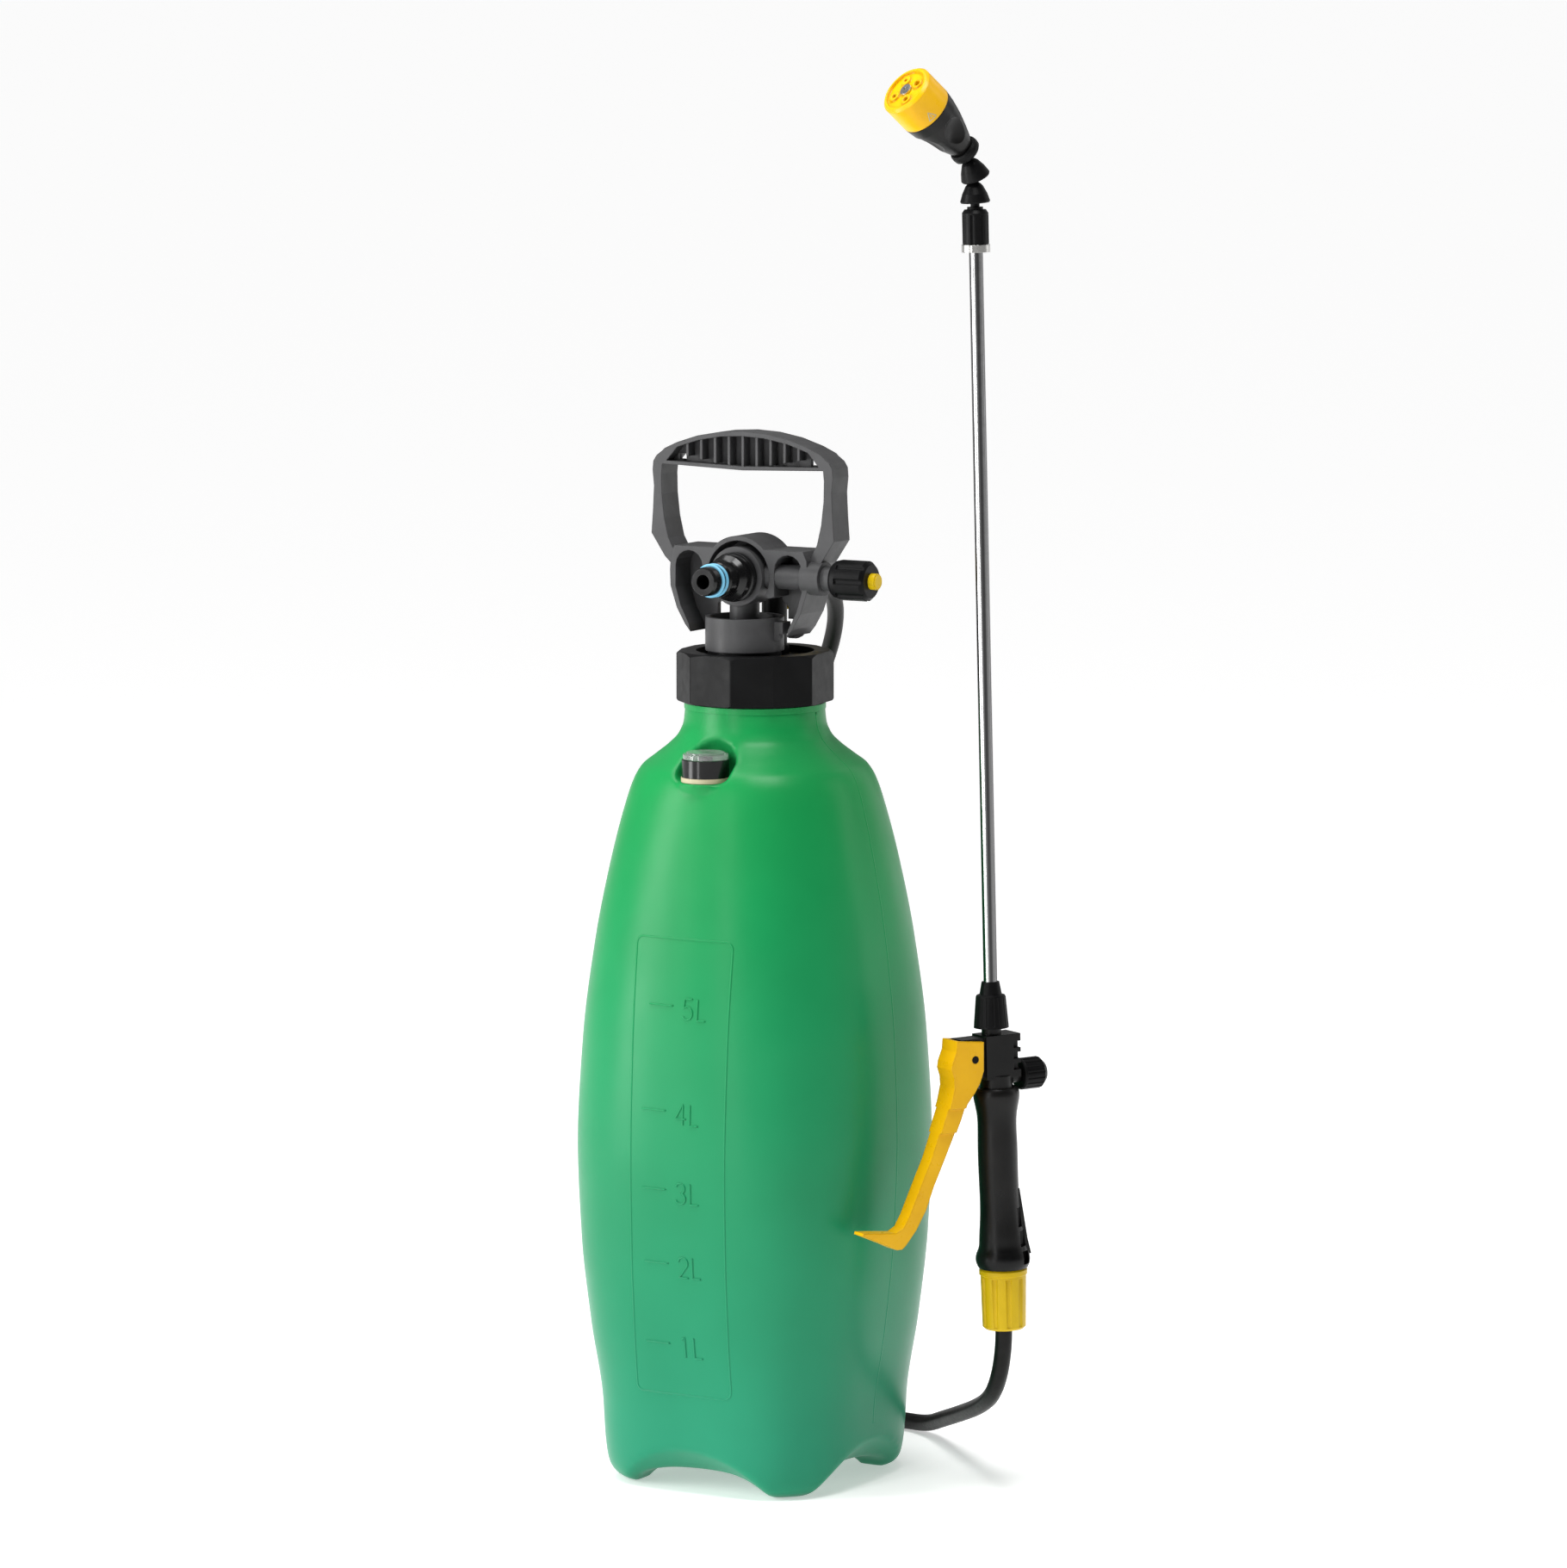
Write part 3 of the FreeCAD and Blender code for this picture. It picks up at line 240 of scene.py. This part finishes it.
def tank_material():
    """Blow-moulded polyethylene: warmer towards the shoulder, cooler towards the feet."""
    mat = plastic("tank_plastic", (0.006, 0.215, 0.062), (0.009, 0.255, 0.077), 0.34, 9.0, 700.0, 0.05, 0,
                  Specular_IOR_Level=0.19)
    tree = mat.node_tree
    bsdf = tree.nodes["Principled BSDF"]
    coords = [n for n in tree.nodes if n.type == "TEX_COORD"][0]
    split = tree.nodes.new("ShaderNodeSeparateXYZ")
    wire(tree, coords.outputs["Object"], split.inputs["Vector"])
    height = tree.nodes.new("ShaderNodeMapRange")
    height.inputs["From Min"].default_value = 0.02
    height.inputs["From Max"].default_value = 0.36
    wire(tree, split.outputs["Z"], height.inputs["Value"])
    tint = tree.nodes.new("ShaderNodeMix")
    tint.data_type = "RGBA"
    tint.blend_type = "MULTIPLY"
    tint.inputs["Factor"].default_value = 1.0
    wire(tree, bsdf.inputs["Base Color"].links[0].from_socket, tint.inputs["A"])
    wire(tree, two_colours(tree, height.outputs["Result"], (1.5, 0.97, 1.75), (1.0, 1.06, 0.86)),
         tint.inputs["B"])
    wire(tree, tint.outputs["Result"], bsdf.inputs["Base Color"])
    return mat


def painted_reflection_tube():
    """Drawn tube with painted reflections: light and dark stripes laid in its colour by the way its surface
    faces, RIGHT to left.
    """
    mat = metal("lance_steel", (0.80, 0.80, 0.81), 0.16)
    tree = mat.node_tree
    bsdf = tree.nodes["Principled BSDF"]
    normal = tree.nodes.new("ShaderNodeNewGeometry").outputs["Normal"]
    side = tree.nodes.new("ShaderNodeVectorMath")
    side.operation = "DOT_PRODUCT"
    side.inputs[1].default_value = RIGHT
    wire(tree, normal, side.inputs[0])
    place = tree.nodes.new("ShaderNodeMapRange")
    place.inputs["From Min"].default_value = -1.0
    wire(tree, side.outputs["Value"], place.inputs["Value"])
    # painted reflection: greys laid in the tube's base colour by how its surface faces RIGHT, not by the
    # lights
    painted_reflection_bands = tree.nodes.new("ShaderNodeValToRGB")
    painted_reflection_stops = [(0.0, 0.06), (0.13, 0.16), (0.24, 0.72), (0.36, 0.24), (0.50, 0.05), (0.64, 0.06), (0.76, 0.22),
             (0.88, 0.16), (1.0, 0.05)]
    ramp = painted_reflection_bands.color_ramp
    ramp.elements[0].position, ramp.elements[1].position = painted_reflection_stops[0][0], painted_reflection_stops[-1][0]
    for position, _ in painted_reflection_stops[1:-1]:
        ramp.elements.new(position)
    for element, (position, grey) in zip(ramp.elements, painted_reflection_stops):
        element.color = (grey, grey, grey * 1.01, 1)
    wire(tree, place.outputs["Result"], painted_reflection_bands.inputs["Fac"])
    wire(tree, painted_reflection_bands.outputs["Color"], bsdf.inputs["Base Color"])
    return mat


def make_materials():
    black = (0.0030, 0.0030, 0.0032)
    black_2 = (0.0052, 0.0052, 0.0055)
    return {
        "tank_plastic": tank_material(),
        "black_plastic": plastic("black_plastic", black, black_2, 0.38, Specular_IOR_Level=0.10),
        "gun_plastic": plastic("gun_plastic", black, (0.0068, 0.0064, 0.0060), 0.32,
                               Specular_IOR_Level=0.19),
        "nipple_plastic": plastic("nipple_plastic", black, black_2, 0.20, bump=0.02,
                                  Specular_IOR_Level=0.35),
        "grey_plastic": plastic("grey_plastic", (0.040, 0.040, 0.041), (0.052, 0.052, 0.054), 0.44,
                                bump=0.10, rounding=0.0007, Specular_IOR_Level=0.28),
        "yellow_plastic": plastic("yellow_plastic", (0.70, 0.37, 0.0005), (0.78, 0.43, 0.001), 0.30,
                                  rounding=0.0012, Specular_IOR_Level=0.24),
        "lemon_plastic": plastic("lemon_plastic", (0.58, 0.385, 0.001), (0.66, 0.45, 0.002), 0.36,
                                 Specular_IOR_Level=0.22),
        "cream_plastic": plastic("cream_plastic", (0.40, 0.36, 0.22), (0.50, 0.45, 0.29), 0.5),
        "clear_plastic": plastic("clear_plastic", (0.80, 0.84, 0.82), (0.88, 0.90, 0.88), 0.10, bump=0.0,
                                 Transmission_Weight=0.85, IOR=1.46),
        "seal_rubber": plastic("seal_rubber", (0.015, 0.015, 0.015), (0.022, 0.022, 0.022), 0.7),
        "o_ring": plastic("o_ring", (0.13, 0.42, 0.62), (0.18, 0.50, 0.70), 0.35),
        "hose": plastic("hose", (0.0050, 0.0049, 0.0046), (0.0085, 0.0081, 0.0078), 0.38, 200.0, 900.0,
                        0.12, 0, Specular_IOR_Level=0.15),
        # steel whose base colour holds painted reflections
        "lance_steel": painted_reflection_tube(),
        "ring_metal": metal("ring_metal", (0.42, 0.415, 0.40), 0.24, 1.0),
        "screw_steel": metal("screw_steel", (0.62, 0.61, 0.58), 0.3, 1.0),
        "spring_steel": metal("spring_steel", (0.5, 0.5, 0.5), 0.3, 1.0),
    }


MATERIALS = make_materials()


def paint(obj, slot, look=None):
    obj.data.materials.clear()
    obj.data.materials.append(MATERIALS[look or slot])


# nodes whose finish differs a little from the rest of their slot
LOOKS = {"tank_hose_nut": "lemon_plastic", "gun_hose_nut": "lemon_plastic",
         "release_button": "lemon_plastic", "relief_body": "nipple_plastic"}
for name, node in frame["nodes"].items():
    paint(node, SLOT_OF[name], LOOKS.get(name))


# ---- mesh helpers -------------------------------------------------------------------------
SIDES = 96


def add_mesh(name, vertices, faces, smooth=True):
    mesh = bpy.data.meshes.new(name)
    mesh.from_pydata(vertices, [], faces)
    mesh.polygons.foreach_set("use_smooth", [smooth] * len(mesh.polygons))
    obj = bpy.data.objects.new(name, mesh)
    SCENE.collection.objects.link(obj)
    return obj


def grid_faces(rows, columns, closed):
    faces = []
    for i in range(rows - 1):
        for j in range(columns if closed else columns - 1):
            k = (j + 1) % columns
            faces.append((i * columns + j, i * columns + k, (i + 1) * columns + k, (i + 1) * columns + j))
    return faces


def apply_modifiers(obj):
    depsgraph = bpy.context.evaluated_depsgraph_get()
    mesh = bpy.data.meshes.new_from_object(obj.evaluated_get(depsgraph))
    obj.modifiers.clear()
    obj.data = mesh


def cut_with(obj, cutter, operation="DIFFERENCE"):
    boolean = obj.modifiers.new("cut", "BOOLEAN")
    boolean.operation = operation
    boolean.solver = "EXACT"
    boolean.object = cutter
    apply_modifiers(obj)
    bpy.data.objects.remove(cutter)


def end_caps(rows, columns):
    """Faces that close the first and last row of a closed grid."""
    return [tuple(range(columns))[::-1], tuple(range((rows - 1) * columns, rows * columns))]


def rings(outline, centre=(0.0, 0.0)):
    """Points of an outline of (radius, z) turned about a vertical line."""
    angles = [2 * math.pi * j / SIDES for j in range(SIDES)]
    return [(centre[0] + r * math.cos(a), centre[1] + r * math.sin(a), z)
            for r, z in outline for a in angles]


def turned(name, outline, centre):
    """Solid turned from an outline, flat at both ends."""
    faces = grid_faces(len(outline), SIDES, True) + end_caps(len(outline), SIDES)
    return add_mesh(name, rings(outline, centre), faces)


def ramp(value, length):
    """0 at and below zero, 1 from length on, and a straight line between."""
    return min(max(value / length, 0.0), 1.0)


# ---- tank ---------------------------------------------------------------------------------
FEET_Z = 0.006
# millimetres: arches between the feet at the wall, the low cross behind them, the dished middle
ARCH_H, ARCH_HALF, ARCH_SLOPE, WALL_OUT = 23.0, 58.0, 0.75, 68.6
ARCH_ROUND = 1.15
BELLY_H, BELLY_HALF = 9.6, 38.5
DOME_R, DOME_H = 46.0, 20.0
# metres: feet softened below this height, the wall set on the profile between these heights
FEET_SOFT_Z = 0.030
WALL_LOW, WALL_HIGH = 0.034, 0.392
SHOULDER_Z = 0.3
# metres: boss and recess of the relief valve, the mouth, and the remesh
BOSS_R, BOSS_BASE_R, BOSS_H = 0.0146, 0.008, 0.010
NICHE_R, NICHE_Z = 0.0152, FEET_Z + 0.366
NICHE_CLEAR = 0.0185
MOUTH_R = 0.0285
VOXEL = 0.0013
# height, half width across the flats, squareness (2 is round), as in the CAD
TANK_PROFILE = [
    (-6.0, 59.5, 3.0), (-3.0, 64.6, 3.1), (3.0, 67.2, 3.2), (14.0, 68.6, 3.2), (36.0, 70.0, 3.15),
    (75.0, 76.0, 3.0), (120.0, 80.9, 2.9), (172.0, 83.1, 2.8), (222.0, 81.5, 2.65),
    (270.0, 76.8, 2.5), (310.0, 70.1, 2.4), (340.0, 63.4, 2.3), (353.0, 59.4, 2.25),
    (359.5, 55.8, 2.2), (365.0, 49.6, 2.1), (370.0, 43.6, 2.05), (375.4, 38.8, 2.0),
    (382.0, 36.2, 2.0), (391.0, 35.4, 2.0)]
TANK_TOP = FEET_Z + TANK_PROFILE[-1][0] / 1000


def tangent(index, column):
    """Slope of a profile column that keeps the curve between its points free of bumps."""
    if index in (0, len(TANK_PROFILE) - 1):
        return None
    z0, z1, z2 = (TANK_PROFILE[index + k][0] for k in (-1, 0, 1))
    v0, v1, v2 = (TANK_PROFILE[index + k][column] for k in (-1, 0, 1))
    before, after = (v1 - v0) / (z1 - z0), (v2 - v1) / (z2 - z1)
    if before * after <= 0:
        return 0.0
    return 2 * before * after / (before + after) if abs(before + after) > 1e-9 else 0.0


def profile_at(z, column):
    """Half width or squareness of the tank at a height in millimetres."""
    z = min(max(z, TANK_PROFILE[0][0]), TANK_PROFILE[-1][0])
    index = max(i for i, row in enumerate(TANK_PROFILE[:-1]) if row[0] <= z)
    z0, z1 = TANK_PROFILE[index][0], TANK_PROFILE[index + 1][0]
    v0, v1 = TANK_PROFILE[index][column], TANK_PROFILE[index + 1][column]
    line = (v1 - v0) / (z1 - z0)
    m0, m1 = tangent(index, column), tangent(index + 1, column)
    m0 = line if m0 is None else m0
    m1 = line if m1 is None else m1
    span = z1 - z0
    t = (z - z0) / span
    return ((2 * t ** 3 - 3 * t ** 2 + 1) * v0 + (t ** 3 - 2 * t ** 2 + t) * span * m0
            + (3 * t ** 2 - 2 * t ** 3) * v1 + (t ** 3 - t ** 2) * span * m1)


def tank_radius(angle, height):
    """Distance in metres of the tank's surface from its axis, height in metres above the floor."""
    z = (height - FEET_Z) * 1000
    half, square = profile_at(z, 1), profile_at(z, 2)
    c, s = abs(math.cos(angle)), abs(math.sin(angle))
    return 0.001 * half / (c ** square + s ** square) ** (1 / square)


def front_y(x, height):
    """Y of the tank's -Y face at a given X and height."""
    z = (height - FEET_Z) * 1000
    half, square = profile_at(z, 1), profile_at(z, 2)
    return -0.001 * (half ** square - abs(x * 1000) ** square) ** (1 / square)


def base_height(x, y):
    """Height of the tank's underside: four rising arches, a low cross and a dished middle."""
    x, y = abs(x) * 1000, abs(y) * 1000
    height = 0.0
    for across, outwards in ((x, y), (y, x)):
        arch = ARCH_H * max(0.0, 1 - (across / ARCH_HALF) ** 2) ** ARCH_ROUND
        height = max(height, arch - ARCH_SLOPE * (WALL_OUT - outwards))
        height = max(height, BELLY_H * max(0.0, 1 - (across / BELLY_HALF) ** 4) ** 0.6)
    away = math.hypot(x, y)
    if away < DOME_R:
        ball = (DOME_R ** 2 + DOME_H ** 2) / (2 * DOME_H)
        height = max(height, DOME_H - ball + math.sqrt(ball ** 2 - away ** 2))
    return height / 1000


def lower_edge(angle):
    """Radius and height of the wall's lower edge at an angle."""
    z = 0.0
    for _ in range(4):
        r = tank_radius(angle, z)
        z = base_height(r * math.cos(angle), r * math.sin(angle))
    return r, z


def tank_surface():
    """The underside and the wall as one closed grid."""
    base_rows, wall_rows, columns = 60, 190, 360
    # part of a row by which the first ring stands off the axis
    first = 0.3
    angles = [2 * math.pi * j / columns for j in range(columns)]
    edges = [lower_edge(a) for a in angles]
    points = []
    for i in range(base_rows):
        for a, (r_edge, _) in zip(angles, edges):
            r = r_edge * (i + first) / base_rows
            x, y = r * math.cos(a), r * math.sin(a)
            points.append((x, y, base_height(x, y)))
    for i in range(wall_rows):
        for a, (_, z_edge) in zip(angles, edges):
            z = z_edge + (TANK_TOP - z_edge) * i / (wall_rows - 1)
            r = tank_radius(a, z)
            points.append((r * math.cos(a), r * math.sin(a), z))
    rows = base_rows + wall_rows
    return add_mesh("tank_shell", points, grid_faces(rows, columns, True) + end_caps(rows, columns))


def seat_relief_valve(tank):
    """Give the tank a boss and a recess for the relief valve, and return the valve's axis."""
    low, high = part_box("relief_washer")
    seat = ((low.x + high.x) / 2, (low.y + high.y) / 2)
    cut_with(tank, turned("boss", [(BOSS_BASE_R, low.z - BOSS_H), (BOSS_R, low.z)], seat), "UNION")
    dome = [(NICHE_R * math.cos(0.1 * k), NICHE_Z + NICHE_R * math.sin(0.1 * k)) for k in range(16)]
    cut_with(tank, turned("recess", [(NICHE_R, low.z)] + dome, seat))
    return seat


def remesh_tank(tank):
    remesh = tank.modifiers.new("remesh", "REMESH")
    remesh.mode = "VOXEL"
    remesh.voxel_size = VOXEL
    remesh.use_smooth_shade = True
    relax = tank.modifiers.new("relax", "SMOOTH")
    relax.iterations = 12
    relax.factor = 0.5
    apply_modifiers(tank)


def make_tank():
    tank = tank_surface()
    seat = seat_relief_valve(tank)
    remesh_tank(tank)
    settle_on_profile(tank, seat)
    bm = bmesh.new()
    bm.from_mesh(tank.data)
    soften_feet(bm)
    mouth = [f for f in bm.faces if f.calc_center_median().z > TANK_TOP - 0.002
             and f.calc_center_median().xy.length < MOUTH_R]
    bmesh.ops.delete(bm, geom=mouth, context="FACES")
    bm.to_mesh(tank.data)
    bm.free()
    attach(tank, "tank_unit")
    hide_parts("tank")
    paint(tank, "tank_plastic")


def soften_feet(bm):
    """Round the feet off below FEET_SOFT_Z and set them back down on the floor."""
    feet = [v for v in bm.verts if v.co.z < FEET_SOFT_Z]
    for _ in range(8):
        bmesh.ops.smooth_vert(bm, verts=feet, factor=0.5,
                              use_axis_x=True, use_axis_y=True, use_axis_z=True)
    lowest = min(v.co.z for v in feet)
    for vertex in feet:
        vertex.co.z -= lowest * (1 - vertex.co.z / FEET_SOFT_Z)


def settle_on_profile(tank, seat):
    """Move the plain wall back onto the exact profile, away from the feet and the valve's recess."""
    for vertex in tank.data.vertices:
        x, y, z = vertex.co
        wall = ramp(z - WALL_LOW, 0.02) * ramp(WALL_HIGH - z, 0.004)
        if z > SHOULDER_Z:
            wall *= ramp(math.hypot(x - seat[0], y - seat[1]) - NICHE_CLEAR, 0.006)
        if wall > 0:
            angle = math.atan2(y, x)
            r = math.hypot(x, y)
            scale = 1 + wall * (tank_radius(angle, z) / r - 1)
            vertex.co.x *= scale
            vertex.co.y *= scale


def ridge(name, path, width, height, place, closed=False):
    """A low rounded rib along (u, v) points. place(u, v) gives a point and its outward normal."""
    profile = [(-0.5, -0.25), (-0.40, 0.35), (-0.15, 0.9), (0.15, 0.9), (0.40, 0.35), (0.5, -0.25)]
    points = []
    count = len(path)
    for i, (u, v) in enumerate(path):
        if closed:
            before, after = path[i - 1], path[(i + 1) % count]
        else:
            before, after = path[max(i - 1, 0)], path[min(i + 1, count - 1)]
        along = Vector((after[0] - before[0], after[1] - before[1])).normalized()
        across = Vector((-along.y, along.x))
        for offset, lift in profile:
            at, normal = place(u + across.x * offset * width, v + across.y * offset * width)
            points.append(at + normal * lift * height)
    faces = grid_faces(count, len(profile), False)
    if closed:
        last = (count - 1) * len(profile)
        faces += [(last + j, last + j + 1, j + 1, j) for j in range(len(profile) - 1)]
    else:
        faces += end_caps(count, len(profile))
    return add_mesh(name, points, faces)


def on_front(x, z):
    """A point on the tank's -Y face and the outward normal there."""
    step = 0.001
    at = Vector((x, front_y(x, z), z))
    dx = Vector((2 * step, front_y(x + step, z) - front_y(x - step, z), 0))
    dz = Vector((0, front_y(x, z + step) - front_y(x, z - step), 2 * step))
    return at, dx.cross(dz).normalized()


def dense(path, step=0.0012):
    """The path with points no farther apart than step."""
    points = [path[0]]
    for a, b in zip(path, path[1:]):
        count = max(1, math.ceil(math.dist(a, b) / step))
        points += [(a[0] + (b[0] - a[0]) * i / count, a[1] + (b[1] - a[1]) * i / count)
                   for i in range(1, count + 1)]
    return points


def arc(cx, cy, rx, ry, start, end, count=12):
    angles = [math.radians(start + (end - start) * i / (count - 1)) for i in range(count)]
    return [(cx + rx * math.cos(a), cy + ry * math.sin(a)) for a in angles]


# strokes of the numerals in a unit box
STROKES = {
    "1": [[(0.28, 0.86), (0.52, 1.0), (0.52, 0.0)]],
    "2": [arc(0.5, 0.72, 0.40, 0.28, 170, -35) + [(0.12, 0.0), (0.92, 0.0)]],
    "3": [arc(0.46, 0.76, 0.38, 0.24, 160, -85) + arc(0.46, 0.27, 0.43, 0.27, 85, -160)],
    "4": [[(0.70, 0.0), (0.70, 1.0), (0.05, 0.30), (0.95, 0.30)]],
    "5": [[(0.86, 1.0), (0.20, 1.0), (0.14, 0.56)] + arc(0.46, 0.32, 0.42, 0.32, 120, -150)],
    "L": [[(0.10, 1.0), (0.10, 0.0), (0.78, 0.0)]],
}
# height of each mark and how far it stands to the left of the top one
LITRE_MARKS = {"5": (0.252, 0.0), "4": (0.199, 0.0026), "3": (0.1588, 0.0026), "2": (0.1208, 0.0026),
               "1": (0.079, 0.0045)}
PANEL_LOW, PANEL_HIGH = 0.052, 0.2853
TICK_FROM, TICK_TO = -0.0150, -0.0012
DIGIT_X, LITRE_X = 0.0042, 0.0122
LETTER_W, LETTER_H, LETTER_DROP = 0.0066, 0.0105, 0.0066
TICK_W, RIB_W, RIB_H = 0.0010, 0.0011, 0.00062
FRAME_H, SEAM_H = 0.00032, 0.00013


def panel_edge(side, z):
    """X of the scale panel's long edge at a height. The edges bow outwards a little."""
    t = (z - PANEL_LOW) / (PANEL_HIGH - PANEL_LOW)
    return 0.0269 + 0.0069 * t - 0.0042 * t * t if side > 0 else -0.0281 + 0.0101 * t - 0.0074 * t * t


def panel_path():
    corner = 0.004
    path = []
    for side, z0, z1 in ((1, PANEL_LOW, PANEL_HIGH), (-1, PANEL_HIGH, PANEL_LOW)):
        count = 60
        zs = [z0 + math.copysign(corner, z1 - z0)
              + (z1 - z0 - 2 * math.copysign(corner, z1 - z0)) * i / count for i in range(count + 1)]
        path += [(panel_edge(side, z), z) for z in zs]
        x = panel_edge(side, z1) - side * corner
        z_centre = z1 - math.copysign(corner, z1 - z0)
        start = 0 if side > 0 else 180
        path += arc(x, z_centre, corner, corner, start, start + 90, 7)[1:]
        x_far = panel_edge(-side, z1) + side * corner
        path += dense([(x, z1), (x_far, z1)])[1:-1]
        path += arc(x_far, z_centre, corner, corner, start + 90, start + 180, 7)[:-1]
    return path


def make_scale():
    pieces = [ridge("scale_frame", panel_path(), RIB_W, FRAME_H, on_front, closed=True)]
    for digit, (z, left) in LITRE_MARKS.items():
        tick = dense([(TICK_FROM - left, z), (TICK_TO - left, z)])
        pieces.append(ridge("scale_tick_" + digit, tick, TICK_W, RIB_H, on_front))
        for letter, x in ((digit, DIGIT_X - left), ("L", LITRE_X - left)):
            name = "scale_" + digit + ("" if letter == digit else "_litre")
            for stroke in STROKES[letter]:
                path = [(x + u * LETTER_W, z - LETTER_DROP + v * LETTER_H) for u, v in stroke]
                pieces.append(ridge(name, dense(path, 0.0008), RIB_W, RIB_H, on_front))
    return pieces


def on_side(sign):
    """Returns the function that places the mould's parting line on the tank's +X or -X side."""
    def place(y, z):
        r = tank_radius(0.0, z)
        slope = (tank_radius(0.0, z + 0.001) - tank_radius(0.0, z - 0.001)) / 0.002
        return Vector((sign * r, y, z)), Vector((sign, 0, -slope)).normalized()
    return place


def make_seams():
    seams = []
    for sign, name in ((1, "seam_right"), (-1, "seam_left")):
        path = dense([(0.0, 0.032), (0.0, 0.394)], 0.002)
        seams.append(ridge(name, path, RIB_W, SEAM_H, on_side(sign)))
    return seams


def make_neck():
    """Threaded neck that the collar nut hides."""
    outline = [(29.5, 390), (29.5, 409.5), (33.0, 409.5)]
    for z in (405.0, 400.5, 396.0):
        outline += [(33.0, z + 1.6), (34.2, z + 0.4), (34.2, z - 0.4), (33.0, z - 1.6)]
    outline += [(33.0, 391.5), (36.0, 391.5), (36.0, 388.5)]
    outline = [(r * 0.001, z * 0.001 + FEET_Z) for r, z in outline]
    return add_mesh("tank_neck", rings(outline), grid_faces(len(outline), SIDES, True), smooth=False)


def head_axes():
    """Centre of the head's ball, the head's own axis, and the cap's side that faces the front."""
    joints = {j["name"]: j for j in frame["record"]["behaviour"]["joints"]}
    axis = Vector(joints["selector_turn"]["axis"]).normalized()
    outwards = (TOWARD - axis * axis.dot(TOWARD)).normalized()
    return Vector(joints["head_tilt"]["pos_m"]), axis, outwards


CAP_R = 0.0140
# along the head's axis from the ball, half the mark's size, its rib's height, and how deep it is set
MARK_ALONG, MARK_HALF, MARK_H, MARK_SINK = 0.0366, 0.0022, 0.00026, 0.00012


def make_cap_mark():
    """Raised pointer on the side of the selector cap: a triangle with a stroke in it."""
    centre, axis, outwards = head_axes()
    sideways = axis.cross(outwards)
    step = 0.0006

    def on_cap(u, v):
        a = u / CAP_R
        normal = outwards * math.cos(a) + sideways * math.sin(a)
        return centre + axis * (MARK_ALONG + v) + normal * (CAP_R - MARK_SINK), normal

    m = MARK_HALF
    triangle = dense([(-m, -m), (m, -m), (0.0, m), (-m, -m)], step)[:-1]
    stroke = dense([(0.0, -0.0012), (0.0, 0.0004)], step)
    return [ridge("cap_mark", triangle, 0.0007, MARK_H, on_cap, closed=True),
            ridge("cap_mark_stroke", stroke, 0.0006, MARK_H, on_cap)]


make_tank()
for piece in make_cap_mark():
    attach(piece, "selector")
    paint(piece, "yellow_plastic", "cream_plastic")
for piece in make_scale() + make_seams() + [make_neck()]:
    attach(piece, "tank_unit")
    paint(piece, "tank_plastic")


# ---- hose ---------------------------------------------------------------------------------
HOSE_D = 0.0087
# height of the hose's end, inside the gun's nut
HOSE_END_Z = 0.095
COIL_X, COIL_Y, COIL_R = -0.0731, 0.1492, 6 * HOSE_D
COIL_START, COIL_DOWN, COIL_END = 30, 390, 660
UPPER = [(0, 44, 448), (0, 68, 448), (-4, 91, 435), (-15, 107, 412), (-32, 112, 378), (-40, 115, 340),
         (-37, 118, 262), (-22, 120, 175), (-4, 121, 96), (2.9, 122.1, 44), (-3.7, 133.3, 20.5),
         (-14.9, 152.8, 7.05)]
LEAD = [(-28, 115, -1.65), (-8, 125, -1.65), (14, 128, -1.65), (34, 121, -0.6), (52, 105, 7), (76, 80, 17),
        (99, 56.6, 27.1), (115.9, 39.4, 36.8), (125.5, 29.5, 48.4), (131.1, 23.8, 62.3), (133.2, 21.5, 77)]


def coil_turns():
    """Three quarters of a turn on top, a quarter that steps down, and three quarters on the floor."""
    points = []
    step, quarter = 15, 90
    for degrees in range(COIL_START, COIL_END + 1, step):
        on_top = ramp(COIL_DOWN - degrees, quarter)
        a = math.radians(degrees)
        z = HOSE_D / 2 + HOSE_D * on_top
        points.append((COIL_X + COIL_R * math.cos(a), COIL_Y + COIL_R * math.sin(a), z))
    return points


def in_metres(points):
    """Millimetres above the tank's datum to metres above the floor."""
    return [(x / 1000, y / 1000, z / 1000 + FEET_Z) for x, y, z in points]


def make_hose():
    nut_low, nut_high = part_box("gun_hose_nut")
    end = ((nut_low.x + nut_high.x) / 2, (nut_low.y + nut_high.y) / 2, HOSE_END_Z)
    route = in_metres(UPPER) + coil_turns() + in_metres(LEAD) + [end]
    curve = bpy.data.curves.new("hose", "CURVE")
    curve.dimensions = "3D"
    curve.bevel_depth = HOSE_D / 2
    curve.bevel_resolution = 6
    curve.resolution_u = 8
    spline = curve.splines.new("NURBS")
    spline.points.add(len(route) - 1)
    for point, at in zip(spline.points, route):
        point.co = (*at, 1.0)
    spline.order_u = 3
    spline.use_endpoint_u = True
    hose = bpy.data.objects.new("hose", curve)
    SCENE.collection.objects.link(hose)
    paint(hose, "hose")
    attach(hose, "tank_unit")
    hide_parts("hose_upper", "hose_coil", "hose_lead")


make_hose()
